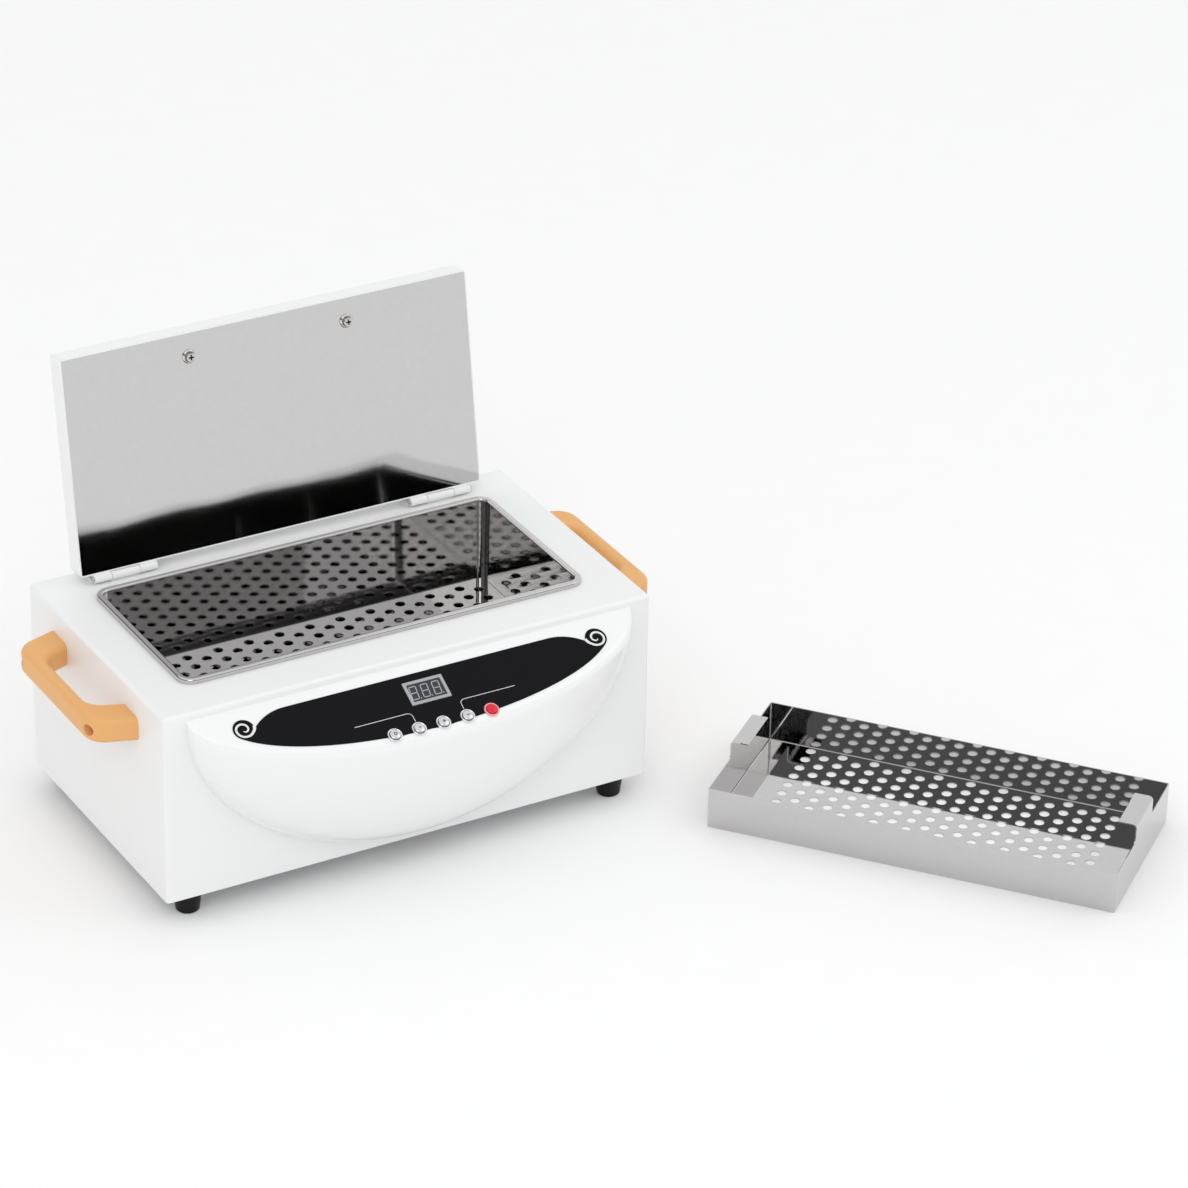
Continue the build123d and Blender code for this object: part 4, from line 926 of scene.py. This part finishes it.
class STERILIZER_OT_label(bpy.types.Operator):
    """Control label with its printed scrolls and lead lines"""

    bl_idname = "sterilizer.label"
    bl_label = "Label"
    bl_options = {"REGISTER", "UNDO"}

    def execute(self, context):
        dress("label_black", "control_label")
        print_face = moved(CONTROL, 0, 0, 0.42)
        form = Form()
        # Each scroll winds inwards: turn, reach from its middle and width of its white strip.
        turns = [-8, 37, 87, 130, 185, 266, 328, 392, 450, 500]
        reach = [7.7, 6.1, 5.7, 5.7, 5.4, 4.2, 3.4, 2.6, 1.9, 1.3]
        width = [2.2, 1.7, 1.5, 1.5, 1.5, 1.5, 1.4, 1.2, 0.9, 0.2]
        for side in (-1, 1):
            line, widths = [], []
            for step in range(91):
                place = step / 10
                index = min(int(place), 8)
                share = place - index
                turn = math.radians(turns[index] + (turns[index + 1] - turns[index]) * share)
                radius = reach[index] + (reach[index + 1] - reach[index]) * share
                x, y = SCROLL_SPOT[0] - radius * math.cos(turn), SCROLL_SPOT[1] - radius * math.sin(turn)
                line.append((side * x, y))
                widths.append(width[index] + (width[index + 1] - width[index]) * share)
            form.add(strip(line, widths), print_face)
            level, bend, far, foot = -36.2, 3.2, 59.0, -43.4
            near = BUTTON_PITCH + bend
            lead = [(side * far, level), (side * near, level)]
            for step in range(1, 7):
                turn = math.pi / 2 * step / 6
                lead.append((side * (near - bend * math.sin(turn)), level - bend * (1 - math.cos(turn))))
            lead.append((side * BUTTON_PITCH, foot))
            form.add(strip(lead, [0.42] * len(lead)), print_face)
        make_piece("label_print", form, ["label_print"], "housing", crease=30, weighted=False)
        return {"FINISHED"}


class STERILIZER_OT_display(bpy.types.Operator):
    """Display frame, smoked window and the unlit digits"""

    bl_idname = "sterilizer.display"
    bl_label = "Display"
    bl_options = {"REGISTER", "UNDO"}

    def execute(self, context):
        face = moved(CONTROL, *DISPLAY_SPOT)
        width, height = DISPLAY_SIZE
        outer = rounded_box(width / 2, height / 2, 0.6, 4)
        inner = rounded_box(width / 2 - 2.2, height / 2 - 2.2, 0.3, 2)
        bezel = Form().add(cut_sheet(outer, [inner], 1.0, 0.22), face)
        make_piece("bevelled_display_frame", bezel, ["frame_grey"], "housing", ("display_bezel",), 50)
        dress("window_dark", "display_window")
        dress("module_black", "display_module")
        digits = Form()
        glass = moved(face, 0, 0, 0.63)
        lean = math.tan(math.radians(6))
        for digit in (-1, 0, 1):
            self.digit(digits, glass, digit * 8.3 - 1.0, lean)
        make_piece("unlit_digits", digits, ["segment_edge"], "housing", weighted=False)
        return {"FINISHED"}

    def digit(self, form, glass, x, lean):
        """Seven unlit segments and a point, leaning a little."""
        half, tall = 2.4, 4.9

        def at(column, row):
            return x + column * half + lean * row * tall, row * tall

        level = [((-1, row), (1, row)) for row in (1, 0, -1)]
        upright = [((side, row), (side, row + 1)) for row in (0, -1) for side in (-1, 1)]
        for first, second in level + upright:
            a, b = Vector(at(*first)), Vector(at(*second))
            gap = (b - a).normalized() * 0.12
            form.add(bar(a + gap, b - gap, 0.62), glass)
        dot = circle(x + half + 1.2 - lean * tall, -tall, 0.42, 12)
        form.add(([(u, v, 0) for u, v in dot], [list(range(12))]), glass)


class STERILIZER_OT_buttons(bpy.types.Operator):
    """Button rings and domed buttons with their plain marks"""

    bl_idname = "sterilizer.buttons"
    bl_label = "Buttons"
    bl_options = {"REGISTER", "UNDO"}

    def execute(self, context):
        ring = [(4.5, -3.2), (4.5, -0.01), (5.2, -0.01), (5.2, 0.55), (5.1, 0.85), (4.85, 1.1), (4.6, 1.2),
                (4.35, 1.16), (4.1, 0.95), (3.8, 0.6), (3.8, -3.2), (4.5, -3.2)]
        rings = Form()
        for place, (x, y) in enumerate(BUTTON_SPOTS):
            rings.add(turned(ring, 48), moved(CONTROL, x, y), 1 if place == 4 else 0)
        make_piece("turned_button_rings", rings, ["ring_silver", "ring_pink"], "housing",
                   ("button_bezels",), 45)
        names = ["menu_button", "set_button", "plus_button", "minus_button", "reset_button"]
        for name, (x, y) in zip(names, BUTTON_SPOTS):
            cap = [(0, -4.3), (4.6, -4.3), (4.6, -3.5), (3.72, -3.5), (3.72, 1.45)]
            cap += [(3.72 - 0.3 * (1 - math.cos(a)), 1.45 + 0.3 * math.sin(a)) for a in (0.5, 1.0)]
            cap += [(r, 2.5 - (9.05 - math.sqrt(9.05**2 - r * r))) for r in (3.35, 2.8, 2.1, 1.4, 0.7, 0)]
            form = Form().add(turned(cap, 48), moved(CONTROL, x, y))
            self.mark(name, form, moved(CONTROL, x, y, 2.4))
            colour = "button_red" if name == "reset_button" else "button_silver"
            make_piece(f"domed_{name}", form, [colour, "button_mark"], name, (name,), 45)
        return {"FINISHED"}

    def mark(self, name, form, face):
        """Thin plain mark on a button: ring, dot, plus or minus."""
        reach = millimetres("symbol")
        outlines = {
            "menu_button": (circle(0, 0, reach * 0.9, 24), [circle(0, 0, reach * 0.5, 24)]),
            "set_button": (circle(0, 0, reach * 0.42, 20), ()),
            "plus_button": (cross(reach, 0.55), ()),
            "minus_button": ([(-reach, -0.28), (reach, -0.28), (reach, 0.28), (-reach, 0.28)], ()),
        }
        if name in outlines:
            form.add(cut_sheet(*outlines[name], 0.14, 0.03), face, 1)


class STERILIZER_OT_handles(bpy.types.Operator):
    """Side handles and their screws"""

    bl_idname = "sterilizer.handles"
    bl_label = "Handles"
    bl_options = {"REGISTER", "UNDO"}

    def execute(self, context):
        dress("handle_orange", "left_handle", "right_handle")
        dress("screw_steel", "handle_screws")
        return {"FINISHED"}


class STERILIZER_OT_lid(bpy.types.Operator):
    """Lid shell, mirror liner, cup washers and the lid handle"""

    bl_idname = "sterilizer.lid"
    bl_label = "Lid"
    bl_options = {"REGISTER", "UNDO"}

    def execute(self, context):
        dress("casing_white", "lid_shell")
        dress("liner_steel", "lid_liner")
        dress("fibre_wool", "lid_insulation")
        dress("handle_orange", "lid_handle")
        self.cups()
        return {"FINISHED"}

    def cups(self):
        """Pressed cup washers with a screw sunk in each."""
        cups, screws = Form(), Form()
        profile = [(5.0, 0), (4.95, 0.35), (4.6, 1.0), (4.2, 1.5), (3.9, 1.6), (3.6, 1.45), (3.2, 0.9),
                   (2.6, 0.55), (0, 0.5)]
        for low, high in solid_places("lid_screw_cups", LINER):
            x, y, base = (low[0] + high[0]) / 2, (low[1] + high[1]) / 2, low[2]
            cup = [(radius, base + height) for radius, height in profile]
            cups.add(turned(cup, 48), moved(LINER, x, y))
        for low, high in solid_places("lid_handle_screws", LINER):
            x, y = (low[0] + high[0]) / 2, (low[1] + high[1]) / 2
            height = min(2.4, high[2] - 0.1)
            level = high[2] - height
            add_screw(screws, moved(LINER, x, y, level), 3.3, height, 2.0, level - low[2])
        make_piece("pressed_screw_cups", cups, ["cup_steel"], "lid", ("lid_screw_cups",), 50)
        # The second finish is the painted shade at the foot of each cross recess.
        make_piece("cross_lid_screws", screws, ["screw_steel", "painted_recess_shade"], "lid",
                   ("lid_handle_screws",), 40)


class STERILIZER_OT_hinges(bpy.types.Operator):
    """Hinge leaves, pins and screws"""

    bl_idname = "sterilizer.hinges"
    bl_label = "Hinges"
    bl_options = {"REGISTER", "UNDO"}

    def execute(self, context):
        leaves = [f"{body}_hinge_leaf_{side}" for body in ("body", "lid") for side in ("left", "right")]
        dress("casing_white", *leaves)
        dress("pin_steel", "hinge_pins")
        dress("screw_steel", "hinge_body_screws", "lid_hinge_screws")
        return {"FINISHED"}


class STERILIZER_OT_tray(bpy.types.Operator):
    """Punched instrument tray with its folded walls and grips"""

    bl_idname = "sterilizer.tray"
    bl_label = "Tray"
    bl_options = {"REGISTER", "UNDO"}

    def execute(self, context):
        form = Form()
        outline = rounded_box(TRAY_HALF_X - 0.3, TRAY_HALF_Y - 0.3, 0.6, 3)
        form.add(cut_sheet(outline, punched_holes(20, 10, 12.1), TRAY_SHEET, 0.1), TRAY)
        # Outward reach and height of the wall, from under the floor over the top edge and down inside.
        wall = [(-0.9, 0.0), (-0.35, 0.12), (0, 0.7), (0, TRAY_HEIGHT - 0.25), (-0.25, TRAY_HEIGHT),
                (-0.55, TRAY_HEIGHT), (-0.8, TRAY_HEIGHT - 0.25), (-0.8, 1.5), (-1.0, 1.0), (-1.5, 0.8)]
        rings = []
        for out, level in wall:
            outline = rounded_box(TRAY_HALF_X + out, TRAY_HALF_Y + out, 1.6 + out, 5)
            rings.append([(x, y, level) for x, y in outline])
        form.add(loft(rings), TRAY)
        for side in (-1, 1):
            form.add(self.grip(side), TRAY)
        make_piece("folded_instrument_tray", form, ["tray_steel"], "housing", ("instrument_tray",), 35)
        return {"FINISHED"}

    def grip(self, side):
        """Grip drawn up from the end wall, rounded into it at the foot and folded over at the top."""
        rise, fold, bend, half, root = 13.5, 13.0, 3.0, 20.0, 3.0
        path = [(0.0, -0.2 + step * root / 5, 0) for step in range(6)]
        path.append((0.0, rise - bend, 0))
        for step in range(1, 9):
            turn = math.pi / 2 * step / 8
            path.append((bend * (1 - math.cos(turn)), rise - bend * (1 - math.sin(turn)), turn))
        path.append((fold - 0.3, rise, math.pi / 2))
        path.append((fold, rise - 0.3, math.pi / 2))
        rings = []
        for inward, up, turn in path:
            flare = root * (1 - math.sqrt(max(0.0, 1 - (1 - min(max(up, 0.0), root) / root) ** 2)))
            width = half + (flare if inward == 0 else 0)
            thick = TRAY_SHEET if inward < fold - 0.1 else TRAY_SHEET - 0.6
            outer_x, outer_z = side * (TRAY_HALF_X - inward), TRAY_HEIGHT + up
            inner_x = side * (TRAY_HALF_X - (inward + thick * math.cos(turn)))
            inner_z = TRAY_HEIGHT + (up - thick * math.sin(turn))
            ring = [(outer_x, -width, outer_z), (outer_x, width, outer_z), (inner_x, width, inner_z),
                    (inner_x, -width, inner_z)]
            rings.append(ring if side > 0 else ring[::-1])
        return loft(rings, first_end=True, last_end=True)


class STERILIZER_OT_rear_fittings(bpy.types.Operator):
    """Mains inlet and power switch in the rear wall"""

    bl_idname = "sterilizer.rear_fittings"
    bl_label = "Rear fittings"
    bl_options = {"REGISTER", "UNDO"}

    def execute(self, context):
        dress("inlet_black", "power_inlet", "rocker_housing", "power_rocker")
        dress("pin_brass", "inlet_pins")
        low, high = (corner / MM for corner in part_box("power_rocker"))
        middle, apart = (low + high) / 2, 4.6
        line, ring = (rounded_box(0.3, 1.5, 0.1, 2), ()), (circle(0, 0, 1.5, 24), [circle(0, 0, 1.1, 24)])
        marks = Form()
        for shape, x in ((line, middle.x + apart), (ring, middle.x - apart)):
            marks.add(cut_sheet(*shape, 0.1, 0.02), self.rocker_face(x, high.y, middle.z))
        make_piece("rocker_marks", marks, ["label_print"], "power_rocker", weighted=False)
        return {"FINISHED"}

    def rocker_face(self, x, outermost, z):
        """Work face on the rocker's sloping front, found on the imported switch."""
        rocker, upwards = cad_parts["power_rocker"], Vector((0, 0, 1))
        hit, place, normal, _ = rocker.ray_cast(Vector((x, outermost + 20, z)) * MM, Vector((0, -1, 0)))
        if not hit:
            raise RuntimeError("the rocker has no face where its mark belongs")
        return seat(place / MM, upwards.cross(normal), upwards)


class STERILIZER_OT_inner_parts(bpy.types.Operator):
    """Heating, insulation and circuit parts inside the casing"""

    bl_idname = "sterilizer.inner_parts"
    bl_label = "Inner parts"
    bl_options = {"REGISTER", "UNDO"}

    def execute(self, context):
        dress("fibre_wool", "insulation_jacket")
        dress("heater_plate", "heater_front", "heater_rear")
        dress("zinc_sheet", "heater_clamps", "tank_clips")
        dress("screw_steel", "hex_nuts", "board_screws")
        dress("cutout_body", "thermal_cutout")
        dress("pin_steel", "temperature_sensor")
        dress("board_green", "control_board", "power_board")
        dress("switch_black", "tact_switches")
        dress("pin_brass", "board_standoffs")
        dress("potting_black", "transformer")
        dress("relay_blue", "relay")
        dress("terminal_green", "terminal_block")
        return {"FINISHED"}


PIECES = (
    STERILIZER_OT_stage,
    STERILIZER_OT_casing,
    STERILIZER_OT_feet,
    STERILIZER_OT_chamber,
    STERILIZER_OT_fascia,
    STERILIZER_OT_label,
    STERILIZER_OT_display,
    STERILIZER_OT_buttons,
    STERILIZER_OT_handles,
    STERILIZER_OT_lid,
    STERILIZER_OT_hinges,
    STERILIZER_OT_tray,
    STERILIZER_OT_rear_fittings,
    STERILIZER_OT_inner_parts,
)


class STERILIZER_PT_pieces(bpy.types.Panel):
    """Colours, sizes and pieces of the sterilizer"""

    bl_label = "Sterilizer"
    bl_idname = "STERILIZER_PT_pieces"
    bl_space_type = "VIEW_3D"
    bl_region_type = "UI"
    bl_category = "Sterilizer"

    def draw(self, context):
        layout = self.layout
        for group in (context.scene.sterilizer_colours, context.scene.sterilizer_sizes):
            box = layout.box()
            for name in group.bl_rna.properties.keys():
                if name not in ("rna_type", "name"):
                    box.prop(group, name)
        column = layout.column()
        for piece in PIECES:
            column.operator(piece.bl_idname)


CLASSES = (SterilizerColours, SterilizerSizes, *PIECES, STERILIZER_PT_pieces)


def register():
    for made in CLASSES:
        bpy.utils.register_class(made)
    bpy.types.Scene.sterilizer_colours = PointerProperty(type=SterilizerColours)
    bpy.types.Scene.sterilizer_sizes = PointerProperty(type=SterilizerSizes)


def unregister():
    del bpy.types.Scene.sterilizer_sizes
    del bpy.types.Scene.sterilizer_colours
    for made in reversed(CLASSES):
        bpy.utils.unregister_class(made)


def main():
    register()
    for piece in PIECES:
        getattr(bpy.ops.sterilizer, piece.bl_idname.split(".")[1])()


if __name__ == "__main__":
    main()
